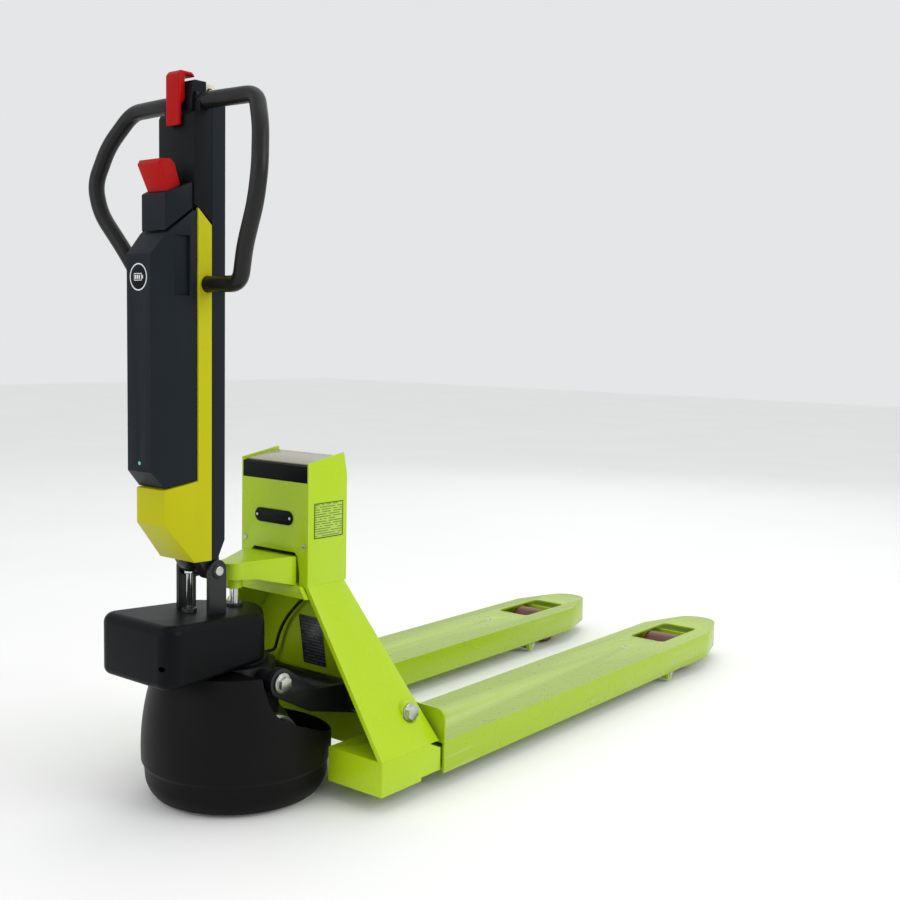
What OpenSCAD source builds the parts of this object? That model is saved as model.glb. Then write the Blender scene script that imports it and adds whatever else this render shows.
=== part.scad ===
// Low-lift electric pallet truck with a weighing indicator, in millimetres.
// +Y runs from the operator to the fork tips, +X is the operator's right, +Z is up.
// Heights start at the floor; lengths below are measured from the forks' heel.

/* [Forks] */
// Width over both forks
forks_w = 555; // [520:5:690]
// Width of one fork shell
fork_w = 170; // [160:1:175]
// Length of a fork from its heel to its tip
fork_len = 1162; // [1140:2:1400]
// Height of the lowered fork tops
fork_h = 85; // [84:1:92]
// Depth of a fork shell's side skirts
shell_h = 56.5; // [50:0.5:60]
// Thickness of the fork shell's plate
shell_t = 4; // [3:0.5:5]
// Height of the upright lip at the heel
lip_h = 56; // [40:1:70]

/* [Lift] */
// Lift of the forks
lift = 115; // [90:5:120]
// Diameter of the lift piston rod
rod_d = 16; // [12:0.5:20]
// Radial clearance of running fits
fit = 0.05; // [0.02:0.01:0.1]
// Distance of the steering axis behind the forks' heel
steer_back = 232; // [228:1:240]

/* [Wheels] */
// Diameter of the drive wheel
wheel_d = 180; // [150:2:182]
// Diameter of a load roller
roller_d = 80; // [70:1:80]
// Width of a load roller
roller_w = 93; // [70:1:96]

/* [Mast] */
// Width of the indicator housing
house_w = 166.6; // [150:0.2:180]
// Height of the housing's bottom edge
house_z = 349; // [345:1:380]
// Height of the housing's front upper edge
house_h = 212.5; // [180:0.5:260]
// Sheet thickness of the housing
sheet_t = 2.5; // [1.5:0.5:3]
// Thickness of the side arms
arm_t = 10; // [8:0.5:12]

/* [Tiller] */
// Height of the tiller's pivot
pivot_z = 395; // [390:1:410]
// Height of the tiller head's top
head_z = 1168; // [1100:2:1240]
// Width of the tiller column
column_w = 86; // [80:1:92]
// Diameter of the loop handles' tube
loop_d = 26; // [22:1:30]
// Wall of the tiller's plastic shells
wall = 3; // [2:0.5:4]

/* [Hidden] */
$fn = 48;
cover_front = -442;
mid_y = (fork_len + cover_front) / 2;
eps = 0.01;
gap = 0.4;

// forks and base
fork_x = (forks_w - fork_w) / 2;
fork_out = fork_w / 2;
nose_r = 52;
nose_y = fork_len - nose_r;
nose_hw = 50;
taper_y = fork_len - 147;
shell_z = fork_h - shell_h;
plate_z = fork_h - shell_t;
beam_hw = fork_out - shell_t - 6;
beam_t = 5;
beam_z = 32;
beam_top = plate_z - 7;
beam_end_y = fork_len - 135;
base_front = -157;
base_in = forks_w / 2 - 124.5;
base_out = forks_w / 2 - shell_t;
base_z = 30;
base_top = 89;
base_t = 6;
window_y = fork_len - 208;
window_l = 172;
window_w = 88;
roller_y = fork_len - 197;
roller_z = roller_d / 2;
axle_d = 16;
pin_y = roller_y - 115;
pin_z = 17;
pin_d = 12;
swing_r = norm([roller_y - pin_y, roller_z - pin_z]);
swing = asin((roller_z - pin_z) / swing_r) + asin((lift + pin_z - roller_z) / swing_r);
frame_hw = roller_w / 2 + 3.5;
frame_t = 8.5;
rod_x = 35.5;
cell_l = 130;
cell_w = 26;
cell_h = 20;
cell_y = [12, pin_y - 195];
screw_in = 13;

// rocker between the drive unit and the frame
st_y = -steer_back;
axle_y = -50;
axle_z = 142;
tube_r = 25;
bolt_r = 10;
seat_z = 208;
rocker_x = 104;
rocker_t = 13;
rocker_r = norm([st_y - axle_y, seat_z - axle_z]);
rocker_a = asin((seat_z - axle_z) / rocker_r);
slip = (rocker_r - (axle_y - st_y)) / 2;
lever_r = 82;
lever_a = (rocker_a + asin((lift + axle_z - seat_z) / rocker_r)) / 2;
lever_y = axle_y - lever_r * sin(lever_a);
lever_z = axle_z - lever_r * cos(lever_a);
lever_x = fork_x - 5.5;
lever_t = 12;
link_r = lever_r * sin(lever_a) / sin(swing / 2);
link_y = pin_y - link_r * sin(swing / 2);
link_z = pin_z + link_r * cos(swing / 2);
rod_z = (lever_z + link_z) / 2;

// mast
arm_foot = base_out;
arm_head = house_w / 2;
arm_slope = (arm_foot - arm_head) / (house_z - base_top);
cross_z = 328;
web_t = 4;
seat_face = forks_w / 2 - 39.5;
tube_end = arm_x(axle_z + tube_r) - arm_t - 8.44;
house_front = -140.4;
house_back = -45;
band_z = house_z + 178;
lug_x = 102;

// drive unit
wheel_r = wheel_d / 2;
wheel_z = wheel_r;
hub_r = wheel_r - 15;
hub_hw = 66;
tread_hw = 38;
neck_r = 50;
seat_r = 70;
crown_z = 181;
skirt_y = -224;
skirt_r = 161.2;
skirt_t = 4;
skirt_top = 226;
cover_hw = 90;
cover_r = 28;
cover_z = 230;
cover_top = 332;
cover_rear = -230;
cover_back_z = 240;
cover_back_top = 320;
cap_r = 59;
cap_x = 100;
ear_x = 34;
ear_t = 8;
pivot_y = -303;
roll_r = 14;
roll_arm = 28;
roll_y = pivot_y - roll_arm * cos(30);
roll_z = pivot_z + roll_arm * sin(30);

// tiller
hw = column_w / 2;
col_back = -290;
col_seam = -317;
strip_y = -344;
shell_foot = 411;
strip_top = 972;
pack_z = 537;
pack_top = 925;
battery_front = -425;
dock_front = -397;
shell_front = -404;
shell_hw = 35;
head_front = -352;
head_hw = hw - 14;
cheek_y = head_front - 2;
lever_hinge_y = -376;
lever_hinge_z = 970;
rocker_y = -301;
rocker_h = head_z - 10;
shoulder_z = head_z - 18;

// Moves a piece from the heel's origin to the middle of the whole truck
module place() translate([0, -mid_y, 0]) children();

// Puts a piece drawn on the right on the side named
module side(s) {
    if (s > 0) children();
    else mirror([1, 0, 0]) children();
}

// Outline in Y and Z pushed along X
module yz(x0, x1) translate([x0, 0, 0]) rotate([90, 0, 90]) linear_extrude(x1 - x0) children();

// Outline in X and Z pushed along Y
module xz(y0, y1) translate([0, y1, 0]) rotate([90, 0, 0]) linear_extrude(y1 - y0) children();

// Round bar along X between two places
module bar_x(x0, x1, y, z, r) translate([x0, y, z]) rotate([0, 90, 0]) cylinder(r = r, h = x1 - x0);

// Flat link with two round ends
module link2d(a, ra, b, rb) {
    d = norm(b - a);
    u = (b - a) / d;
    n = [-u[1], u[0]];
    c = (ra - rb) / d;
    s = sqrt(1 - c * c);
    up = u * c + n * s;
    dn = u * c - n * s;
    translate(a) circle(r = ra);
    translate(b) circle(r = rb);
    polygon([a + up * ra, b + up * rb, b + dn * rb, a + dn * ra]);
}

// Plate outline with round corners at its top
module round_top(x0, x1, z0, z1, r) {
    polygon([[x0, z0], [x0, z1 - r], [x0 + r, z1], [x1 - r, z1], [x1, z1 - r], [x1, z0]]);
    translate([x0 + r, z1 - r]) circle(r = r);
    translate([x1 - r, z1 - r]) circle(r = r);
}

// Slot outline with two half-round ends
module obround(half, r) {
    square([2 * (half - r), 2 * r], center = true);
    for (s = [-1, 1]) translate([s * (half - r), 0]) circle(r = r);
}

// Rectangle outline with round corners
module round_rect(w, l, r) {
    square([w - 2 * r, l], center = true);
    square([w, l - 2 * r], center = true);
    for (i = [-1, 1], j = [-1, 1]) translate([i * (w / 2 - r), j * (l / 2 - r)]) circle(r = r);
}

// Hexagon head along X
module hex_x(x0, x1, y, z, r) translate([x0, y, z]) rotate([0, 90, 0]) cylinder(r = r, h = x1 - x0, $fn = 6);

// ---- forks and base ----

// Plan of a fork, drawn about its own centre line and set in by a margin
module fork_plan(m) {
    polygon([[-fork_out + m, m], [-fork_out + m, taper_y - m / 3], [-nose_hw + m, fork_len - 37 - m],
        [nose_hw - m, fork_len - 37 - m], [fork_out - m, taper_y - m / 3], [fork_out - m, m]]);
    translate([0, nose_y]) circle(r = nose_r - m, $fn = 96);
}

module fork_shell(s) color("yellowgreen") side(s) place() translate([fork_x, 0, 0]) difference() {
    union() {
        translate([0, 0, shell_z]) linear_extrude(shell_h) fork_plan(0);
        xz(0, shell_t) round_top(-fork_out, fork_out, plate_z, fork_h + lip_h, 20);
    }
    translate([0, 0, shell_z - 1]) linear_extrude(shell_h - shell_t + 1) fork_plan(shell_t);
    translate([-fork_out + shell_t, -1, shell_z - 1]) cube([fork_w - 2 * shell_t, 12, shell_h - shell_t + 1]);
    translate([0, window_y, plate_z - 1]) linear_extrude(shell_t + 2) round_rect(window_w, window_l, 12);
    for (y = cell_y) translate([0, shell_screw(y), 0]) {
        translate([0, 0, plate_z - 1]) cylinder(r = 4 + fit, h = shell_t + 2);
        translate([0, 0, fork_h - 3.5 - fit]) cylinder(r1 = 4 + fit, r2 = 8 + fit, h = 3.5);
        translate([0, 0, fork_h - fit - eps]) cylinder(r = 8 + fit, h = 1);
    }
}

// Place along the fork of the screw that holds the shell on a load cell
function shell_screw(y) = y == cell_y[0] ? y + screw_in : y + cell_l - screw_in;
// Place along the fork of the cell's other end, on the beam
function beam_end(y) = y == cell_y[0] ? y + cell_l - 32 : y;

module heel_outline(t) polygon([[base_front + t, base_z - t], [base_front + t, base_top - t],
    [-34 - t / 2, base_top - t],
    [-5 - t, base_top - 14 - t / 2], [-5 - t, base_z + 6 - t], [-56 - t, base_z + 6 - t],
        [-56 - t, base_z - t]]);

module fork_beam(s) color("yellowgreen") side(s) place() difference() {
    union() {
        yz(base_in, base_out) heel_outline(0);
        translate([fork_x - beam_hw, -8, beam_z]) cube([2 * beam_hw, pin_y - 42, beam_top - beam_z]);
        for (i = [-1, 1]) {
            translate([fork_x + i * (beam_hw - beam_t / 2) - beam_t / 2, pin_y - 110, beam_z])
                cube([beam_t, beam_end_y - pin_y + 110, beam_top - beam_z]);
            yz(fork_x + i * (beam_hw - 5.5) - 5.5, fork_x + i * (beam_hw - 5.5) + 5.5)
                link2d([pin_y, pin_z], 11, [pin_y, 50], 18);
        }
        translate([fork_x - beam_hw, beam_end_y - 8, 38]) cube([2 * beam_hw, 6, beam_top - 38]);
    }
    // hollow of the heel box, open below
    translate([base_in + base_t, base_front + base_t, -1])
        cube([base_out - base_in - 2 * base_t, -34 - base_front - base_t, base_top - base_t + 1]);
    // hollow of the beam, open below and into the heel box
    translate([fork_x - beam_hw + beam_t, -11 + eps, -1])
        cube([2 * (beam_hw - beam_t), pin_y - 42 + 3, beam_top - beam_t + 1]);
    translate([fork_x - beam_hw + beam_t + 36, -36, -1]) cube([2 * beam_hw - 2 * beam_t - 36, 40,
        beam_top - beam_t + 1]);
    translate([lever_x, -36, -1]) cube([fork_x + rod_x + 10 - lever_x, 24.5, rod_z + 16]);
    translate([fork_x - beam_hw + beam_t, pin_y - 50 - eps, beam_top - beam_t - 1])
        cube([2 * (beam_hw - beam_t), 2, beam_t + 2]);
    // slot in the heel box's top for the rocker's lever
    translate([lever_x - 4, -100, beam_top - 10]) cube([lever_t + 8, 90, 30]);
    // pockets for the load cells
    for (y = cell_y) translate([fork_x - cell_w / 2 - 1, y - 2, beam_top - beam_t - 1])
        cube([cell_w + 2, cell_l + 4, beam_t + 2]);
    bar_x(fork_x - fork_out, fork_x + fork_out, pin_y, pin_z, pin_d / 2 + fit);
}

module load_cell(y) difference() {
    union() {
        translate([fork_x - cell_w / 2, y, plate_z - 3 - cell_h]) cube([cell_w, cell_l, cell_h]);
        translate([fork_x, shell_screw(y), plate_z - 3]) cylinder(r = 11, h = 3);
        // shelf plate that carries the cell between the beam's walls
        translate([fork_x - beam_hw + beam_t, beam_end(y), plate_z - 6.5 - cell_h])
            cube([beam_hw - beam_t + cell_w / 2 + 4, 32, 3.5]);
    }
    for (i = [-9, 9]) bar_x(fork_x - cell_w, fork_x + cell_w, y + cell_l / 2 + i,
        plate_z - 3 - cell_h / 2, 7);
    translate([fork_x, shell_screw(y), plate_z - 19]) cylinder(r = 4 + fit, h = 30);
}

module load_cells() color("silver") place() for (s = [1, -1], y = cell_y) side(s) load_cell(y);

module fork_screws() color("silver") place() for (s = [1, -1], y = cell_y) side(s)
    translate([fork_x, shell_screw(y), 0]) difference() {
        union() {
            translate([0, 0, plate_z - 18]) cylinder(r = 4, h = shell_t + 18 - 3.5);
            translate([0, 0, fork_h - 3.5 - fit]) cylinder(r1 = 4, r2 = 8, h = 3.5);
        }
        translate([0, 0, fork_h - 3]) cylinder(r = 2.9, h = 6, $fn = 6);
    }

module frame_pins() color("silver") place() for (s = [1, -1]) side(s)
    bar_x(fork_x - beam_hw - 2, fork_x + beam_hw + 2, pin_y, pin_z, pin_d / 2);

// ---- roller ends ----

module roller_frame(s) color("gray") side(s) place() difference() {
    union() {
        for (i = [-1, 1]) yz(fork_x + i * (frame_hw + frame_t / 2)
            - frame_t / 2, fork_x + i * (frame_hw + frame_t / 2) + frame_t / 2)
            link2d([pin_y, pin_z], 10, [roller_y, roller_z], 15);
        bar_x(fork_x - frame_hw - frame_t, fork_x + frame_hw + frame_t, pin_y, pin_z, 10);
        translate([fork_x - frame_hw - 1, roller_y - roller_z - 22, pin_z + 4])
            cube([2 * frame_hw + 2, 8, roller_z - pin_z + 14]);
        yz(fork_x + rod_x - 21, fork_x + rod_x - 9) link2d([pin_y, pin_z], 10, [link_y, link_z], 10);
        bar_x(fork_x + rod_x - 10, fork_x + rod_x + 9, link_y, link_z, 6);
    }
    bar_x(fork_x - fork_out, fork_x + fork_out, pin_y, pin_z, pin_d / 2 + fit);
    bar_x(fork_x - fork_out, fork_x + fork_out, roller_y, roller_z, axle_d / 2 + fit);
}

module roller_axle(s) color("silver") side(s) place()
    bar_x(fork_x - frame_hw - frame_t - 2, fork_x + frame_hw + frame_t + 2, roller_y, roller_z, axle_d / 2);

module load_roller(s) color("sienna") side(s) place()
    translate([fork_x, roller_y, roller_z]) rotate([0, 90, 0]) rotate_extrude($fn = 96)
        polygon([[axle_d / 2 + fit, -roller_w / 2], [roller_r() - 4, -roller_w / 2],
            [roller_r(), -roller_w / 2 + 4],
            [roller_r(), roller_w / 2 - 4], [roller_r() - 4, roller_w / 2],
                [axle_d / 2 + fit, roller_w / 2]]);
function roller_r() = roller_d / 2;

module push_rod(s) color("dimgray") side(s) place() difference() {
    union() {
        translate([fork_x + rod_x, lever_y + 10, rod_z]) rotate([-90, 0, 0])
            cylinder(r = 7, h = link_y - lever_y - 20);
        for (y = [lever_y, link_y]) translate([fork_x + rod_x, y, rod_z])
            rotate([0, 90, 0]) cylinder(r = 13, h = 14, center = true);
    }
    // slots of the opened linkage: each pin rises and falls in them
    for (y = [lever_y, link_y]) yz(fork_x + rod_x - 8, fork_x + rod_x + 8) translate([y, rod_z])
        rotate(90) obround(11.2, 6.8);
}

// ---- rocker ----

module rocker() color("#1a1c1e") place() difference() {
    union() {
        bar_x(-tube_end, tube_end, axle_y, axle_z, tube_r);
        for (s = [1, -1]) side(s) {
            yz(rocker_x, rocker_x + rocker_t) {
                link2d([st_y, seat_z], 24, [st_y + 74, seat_z - 46], 19);
                link2d([st_y + 74, seat_z - 46], 19, [axle_y, axle_z], tube_r + 2);
            }
            yz(lever_x, lever_x + lever_t) link2d([axle_y, axle_z], tube_r, [lever_y, lever_z], 12);
            bar_x(lever_x + lever_t - 1, fork_x + rod_x + 8, lever_y, lever_z, 6);
        }
    }
    for (s = [1, -1]) side(s) {
        bar_x(seat_face - 98, seat_face - 38, axle_y, axle_z, bolt_r + fit);
        // slot of the opened linkage at the drive unit's pivot bolt
        yz(rocker_x - 1, rocker_x + rocker_t + 1)
            translate([st_y + slip * cos(rocker_a), seat_z - slip * sin(rocker_a)]) rotate(-rocker_a)
                obround(slip + 10.7, 9.8);
    }
}

module axle_bolts() color("silver") place() for (s = [1, -1]) side(s) {
    bar_x(seat_face - 96, seat_face, axle_y, axle_z, bolt_r);
    bar_x(seat_face, seat_face + 3, axle_y, axle_z, 15);
    hex_x(seat_face + 3, seat_face + 12, axle_y, axle_z, 14);
}

// ---- mast ----

// Outer side of an arm at a height
function arm_x(z) = arm_foot - (z - base_top) * arm_slope;

module side_arm(s) color("yellowgreen") side(s) place() difference() {
    union() {
        intersection() {
            xz(base_front, 0) polygon([[arm_x(base_top), base_top], [arm_x(house_z), house_z],
                [arm_x(house_z) - arm_t, house_z], [arm_x(base_top) - arm_t, base_top]]);
            yz(0, forks_w) polygon([[base_front, base_top], [-10, base_top], [-50, house_z],
                [base_front + 17, house_z]]);
        }
        // flat seat pressed in the arm for the axle bolt
        bar_x(seat_face - 26, seat_face, axle_y, axle_z, 17);
    }
    bar_x(seat_face - 88, seat_face + 22, axle_y, axle_z, bolt_r + fit);
    bar_x(seat_face, seat_face + 42, axle_y, axle_z, 18);
}

module cross_plate() color("yellowgreen") place() union() {
    xz(base_front + 8, -50) polygon([for (p = [[1, 0], [1, 8], [-1, 8], [-1, 0]])
        [p[0] * (arm_x(house_z - p[1]) - arm_t), house_z - p[1]]]);
    xz(base_front + 8, base_front + 16) polygon([for (p = [[1, house_z], [1, cross_z], [-1, cross_z],
        [-1, house_z]])
        [p[0] * (arm_x(p[1]) - arm_t), p[1]]]);
}

// Rear face of the sloping plate between the arms, at a height
function web_y(z) = -10 - web_t - (z - base_top) * 40 / (house_z - base_top);

module mast_plate() color("yellowgreen") place() {
    intersection() {
        xz(-60, 0) polygon([for (p = [[1, base_top], [1, house_z - 8], [-1, house_z - 8], [-1, base_top]])
            [p[0] * (arm_x(p[1]) - arm_t), p[1]]]);
        yz(-forks_w, forks_w) polygon([[web_y(base_top), base_top], [web_y(base_top) + web_t, base_top],
            [web_y(house_z) + web_t, house_z], [web_y(house_z), house_z]]);
    }
    translate([-base_in, web_y(base_top), base_z + 6])
        cube([2 * base_in, web_t, base_top - base_z - 6]);
}

module lift_bracket() color("yellowgreen") place() difference() {
    union() {
        intersection() {
            linear_extrude(500) {
                translate([0, st_y]) circle(r = 25);
                polygon([[-25, st_y], [-58, base_front - 3], [-58, base_front + 14], [-50, base_front + 22],
                    [-50, -70], [50, -70], [50, base_front + 22], [58, base_front + 14], [58, base_front - 3],
                    [25, st_y]]);
            }
            yz(-100, 100) polygon([[st_y - 30, house_z + 19], [st_y - 30, house_z + 46],
                [base_front, house_z + 52],
                [-70, house_z + 40], [-70, house_z], [base_front + 12, house_z], [st_y + 20, house_z + 17]]);
        }
        translate([0, st_y, house_z + 2]) cylinder(r = 14, h = 30);
    }
    translate([0, st_y, 0]) cylinder(r = rod_d / 2 + fit, h = house_z + 30);
}

module piston_rod() color("silver") place()
    translate([0, st_y, crown_z + 9]) cylinder(r = rod_d / 2, h = house_z + 28 - crown_z - 9);

// Side outline of the indicator housing, set in by a margin
module house_outline(m, top) polygon([[house_front + m, house_z - top],
    [house_front + m, house_z + house_h + top],
    [house_back - 8.4 - m, house_z + house_h + 14.5 + top], [house_back - m, band_z + 10 + top],
        [house_back - m, house_z - top]]);

module indicator_housing() color("yellowgreen") place() difference() {
    yz(-house_w / 2, house_w / 2) house_outline(0, 0);
    yz(-house_w / 2 + sheet_t, house_w / 2 - sheet_t) house_outline(sheet_t, 30);
    translate([-house_w / 2 + sheet_t, house_front - 1, band_z])
        cube([house_w - 2 * sheet_t, sheet_t + 2, 100]);
    // way through for the lift bracket
    xz(house_front - 1, house_front + sheet_t + 1)
        polygon([[-62, house_z - 1], [-63, house_z + 20], [-57, house_z + 50], [-51, house_z + 56],
            [51, house_z + 56],
            [57, house_z + 50], [63, house_z + 20], [62, house_z - 1]]);
    // slot behind the black cover plate
    translate([0, house_front - 1, house_z + 114]) rotate([-90, 0, 0]) linear_extrude(sheet_t + 2)
        obround(30, 8);
    for (x = [-73.5, 73.5]) translate([x, house_front - 1, house_z + 69]) rotate([-90, 0, 0])
        cylinder(r = 2 + fit, h = sheet_t + 2);
    for (x = [-40.5, 40.5]) translate([x, house_front - 1, house_z + 114]) rotate([-90, 0, 0])
        cylinder(r = 1.5 + fit, h = sheet_t + 2);
}

module slot_cover() color("#111111") place() difference() {
    translate([0, house_front - 2, house_z + 114]) rotate([-90, 0, 0]) linear_extrude(2) obround(47, 12.3);
    for (x = [-40.5, 40.5]) translate([x, house_front - 3, house_z + 114]) rotate([-90, 0, 0])
        cylinder(r = 1.5 + fit, h = 4);
}

module indicator_screws() color("silver") place() {
    for (x = [-73.5, 73.5]) translate([x, house_front, house_z + 69]) rotate([-90, 0, 0]) {
        translate([0, 0, -1.8]) cylinder(r = 4, h = 1.8);
        cylinder(r = 2, h = sheet_t + 4);
    }
    for (x = [-40.5, 40.5]) translate([x, house_front - 2, house_z + 114]) rotate([-90, 0, 0]) {
        translate([0, 0, -1.2]) cylinder(r = 2.6, h = 1.2);
        cylinder(r = 1.5, h = sheet_t + 4);
    }
}

module indicator_unit() color("#151515") place()
    yz(-house_w / 2 + sheet_t, house_w / 2 - sheet_t)
        polygon([[house_front + 0.6, band_z], [house_front + 0.6, house_z + house_h - 6],
            [house_back - 12, house_z + house_h + 8], [house_back - 12, band_z - 12],
                [house_front + 30, band_z - 12],
            [house_front + 16, band_z]]);

module indicator_window() color("tan") place()
    yz(-house_w / 2 + sheet_t + 4, house_w / 2 - sheet_t - 4)
        polygon([for (p = [[0, 0], [1, 0], [1, 1], [0, 1]])
            [house_front + 8 + p[0] * 68, window_h(8 + p[0] * 68) + p[1] * 2.4]]);
// Height of the unit's sloping top at a depth behind the housing's front
function window_h(d) = house_z + house_h - 6 + (d - 0.6) * 14 / (house_back - house_front - 12.6);

module indicator_board() color("darkgreen") place() {
    translate([-60, house_back - 16, house_z + 60]) cube([120, 2, 90]);
    for (x = [-40, 0, 34]) translate([x - 8, house_back - 28, house_z + 80]) cube([16, 12, 22]);
    for (x = [-52, 52], z = [66, 144]) translate([x, house_back - 14, house_z + z]) rotate([-90, 0, 0])
        cylinder(r = 3, h = 14 - sheet_t);
}

module data_label() color("#8fae3a") place()
    translate([house_w / 2, -126, house_z + 81]) cube([0.5, 71, 61.5]);

module mast_label() color("#2a2d30") place() yz(-38, 20) polygon([[web_y(172) - 0.8, 172],
    [web_y(172), 172], [web_y(266), 266], [web_y(266) - 0.8, 266]]);

// Points of a route with its corners rounded over a length d
function rounded(p, d, n) = concat([p[0]], [for (i = [1 : len(p) - 2])
    let (a = (p[i - 1] - p[i]) / norm(p[i - 1] - p[i]), b = (p[i + 1] - p[i]) / norm(p[i + 1] - p[i]))
    for (k = [0 : n]) let (t = k / n) p[i] + a * d * (1 - t) * (1 - t) + b * d * t * t], [p[len(p) - 1]]);

// Round tube along a route; ref is any direction never along the route
module swept(p, r, n, ref) {
    m = len(p);
    t = [for (i = [0 : m - 1]) let (d = p[min(i + 1, m - 1)] - p[max(i - 1, 0)]) d / norm(d)];
    u = [for (v = t) let (c = cross(v, ref)) c / norm(c)];
    w = [for (i = [0 : m - 1]) cross(t[i], u[i])];
    polyhedron(
        points = [for (i = [0 : m - 1], k = [0 : n - 1])
            p[i] + r * (cos(360 * k / n) * u[i] + sin(360 * k / n) * w[i])],
        faces = concat([[for (k = [0 : n - 1]) k]], [[for (k = [n - 1 : -1 : 0]) (m - 1) * n + k]],
            [for (i = [0 : m - 2], k = [0 : n - 1])
                [i * n + k, (i + 1) * n + k, (i + 1) * n + (k + 1) % n, i * n + (k + 1) % n]]));
}

// Cable of the load cells, from the cross plate down to the left heel box
cable_route = [[20, -68, 341], [20, -68, 329], [6, -62, 314], [-26, -56, 289], [-54, -52, 264], [-73, -49, 241],
    [-86, -46, 221], [-101, -42, 187], [-124, -62, 180], [-136, -88, 160], [-150, -96, 122],
    [-base_in - 12, -97, 106], [-base_in - 12, -97, base_top]];
module signal_cable() color("#101010") place() swept(rounded(cable_route, 9, 4), 3, 8, [0, 1, 0.2]);

// ---- drive unit ----

module seat_bearing() color("#1a1c1e") place() difference() {
    union() {
        translate([0, st_y, 196]) cylinder(r = seat_r, h = 30, $fn = 96);
        bar_x(-lug_x, lug_x, st_y, seat_z, 17);
    }
    translate([0, st_y, 190]) cylinder(r = neck_r + fit, h = 40, $fn = 96);
    bar_x(-200, 200, st_y, seat_z, 8 + fit);
}

module seat_bolts() color("silver") place() for (s = [1, -1]) side(s) {
    bar_x(54, 118, st_y, seat_z, 8);
    bar_x(118, 121, st_y, seat_z, 17);
    hex_x(121, 129, st_y, seat_z, 12.5);
}

// Outer radius of the skirt at a height
function skirt_at(z) = z > 60 ? skirt_r - 0.00124 * pow(z - 83, 2)
    : z > 38 ? skirt_r - 4.7 - 0.1 * (58 - z) : skirt_r - 6.7 - 0.0135 * pow(38 - z, 2);

module skirt() color("#141618") place() difference() {
    union() {
        translate([0, skirt_y, 0]) rotate_extrude($fn = 144) {
            zs = [for (z = [7 : 4 : 38]) z, 47, 58, 60.5, 66, for (z = [75 : 13 : 218]) z, skirt_top];
            polygon(concat([for (z = zs) [skirt_at(z), z]], [for (i = [len(zs) - 1 : -1 : 0])
                [skirt_at(zs[i]) - skirt_t, zs[i]]]));
        }
        difference() {
            translate([0, skirt_y, skirt_top - 5]) cylinder(r = skirt_at(skirt_top) - 1, h = 5, $fn = 144);
            translate([0, st_y, 190]) cylinder(r = seat_r + fit, h = 50, $fn = 96);
        }
    }
    // opening behind for the rocker, cut lower towards the forks
    yz(-200, 200) polygon([for (p = [[-48, 230], [-49, 212], [-47, 190], [-40, 172], [-28, 159],
        [-2, 145], [27, 133],
        [65, 117], [95, 106], [135, 96], [180, 90], [180, 230]]) [st_y + p[0], p[1]]]);
}

module pump_body() color("#1b1d20") place() difference() {
    union() {
        translate([0, st_y, crown_z + 10]) cylinder(r = neck_r, h = 47, $fn = 96);
        translate([0, st_y, 227]) cylinder(r = 58, h = 8);
        translate([0, st_y, 234]) cylinder(r = 38, h = 66);
        translate([0, st_y, 290]) cylinder(r = 14, h = cover_back_top + 5 - 290);
        translate([-46, pivot_y - 44, 244]) cube([92, 80, 56]);
        translate([0, roll_y, 290]) cylinder(r = 12, h = cover_top - 290);
    }
    translate([0, st_y, crown_z + 5]) cylinder(r = rod_d / 2 + fit, h = 200);
    translate([0, roll_y, 247]) cylinder(r = 5 + fit, h = 100);
}

module wheel_fork() color("#202224") place() difference() {
    union() {
        translate([0, st_y, crown_z]) cylinder(r = 84, h = 10);
        for (s = [1, -1]) side(s) yz(hub_hw + 4, hub_hw + 16)
            link2d([st_y, wheel_z], 22, [st_y, crown_z - 20], 27);
        for (s = [1, -1]) side(s) translate([hub_hw + 4, st_y - 27, crown_z - 25]) cube([12, 54, 26]);
    }
    bar_x(-100, 100, st_y, wheel_z, 9 + fit);
    translate([0, st_y, crown_z - 1]) cylinder(r = rod_d / 2 + 1, h = 20);
}

module drive_axle() color("silver") place() bar_x(-hub_hw - 20, hub_hw + 20, st_y, wheel_z, 9);

// Turned flange on each side of the wheel fork that clamps the axle
module axle_caps() color("silver") place() for (s = [1, -1]) side(s) difference() {
    bar_x(hub_hw + 16, cap_x, st_y, wheel_z, cap_r);
    bar_x(cap_x - 5, cap_x + 1, st_y, wheel_z, cap_r - 8);
    bar_x(hub_hw, hub_hw + 21, st_y, wheel_z, 9 + fit);
}

module hub_motor() color("silver") place() difference() {
    union() {
        bar_x(-tread_hw, tread_hw, st_y, wheel_z, hub_r - 4 - fit);
        for (s = [1, -1]) side(s) bar_x(tread_hw + gap, hub_hw, st_y, wheel_z, hub_r);
        bar_x(-tread_hw - 2, tread_hw + 2, st_y, wheel_z, hub_r - 6);
    }
    bar_x(-100, 100, st_y, wheel_z, 9 + fit);
}

module drive_tyre() color("#26282a") place()
    translate([0, st_y, wheel_z]) rotate([0, 90, 0]) rotate_extrude($fn = 96)
        polygon([[hub_r - 4, -tread_hw], [wheel_r - 5, -tread_hw], [wheel_r, -tread_hw + 6],
            [wheel_r, tread_hw - 6], [wheel_r - 5, tread_hw], [hub_r - 4, tread_hw]]);

// Rounded block of the upper cover, set in by a margin: tall and square in front, narrower round the rod
module cover_block(m) hull() {
    for (s = [1, -1], k = [0, 1]) {
        translate([s * (cover_hw - cover_r), cover_front + cover_r, cover_z + m + 16 * (1 - k)])
            cylinder(r = cover_r - m - 16 * k, h = cover_top - cover_z - 2 * m - 32 * (1 - k), $fn = 32);
        translate([s * (cover_hw - 26), cover_rear - 24, cover_back_z + m + 10 * (1 - k)])
            cylinder(r = 24 - m - 10 * k, h = cover_back_top + 1 - cover_back_z - 2 * m - 20 * (1 - k),
                $fn = 32);
    }
    translate([0, st_y, cover_back_z + m]) cylinder(r = 50 - m,
        h = cover_back_top - cover_back_z - 2 * m, $fn = 48);
}

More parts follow.
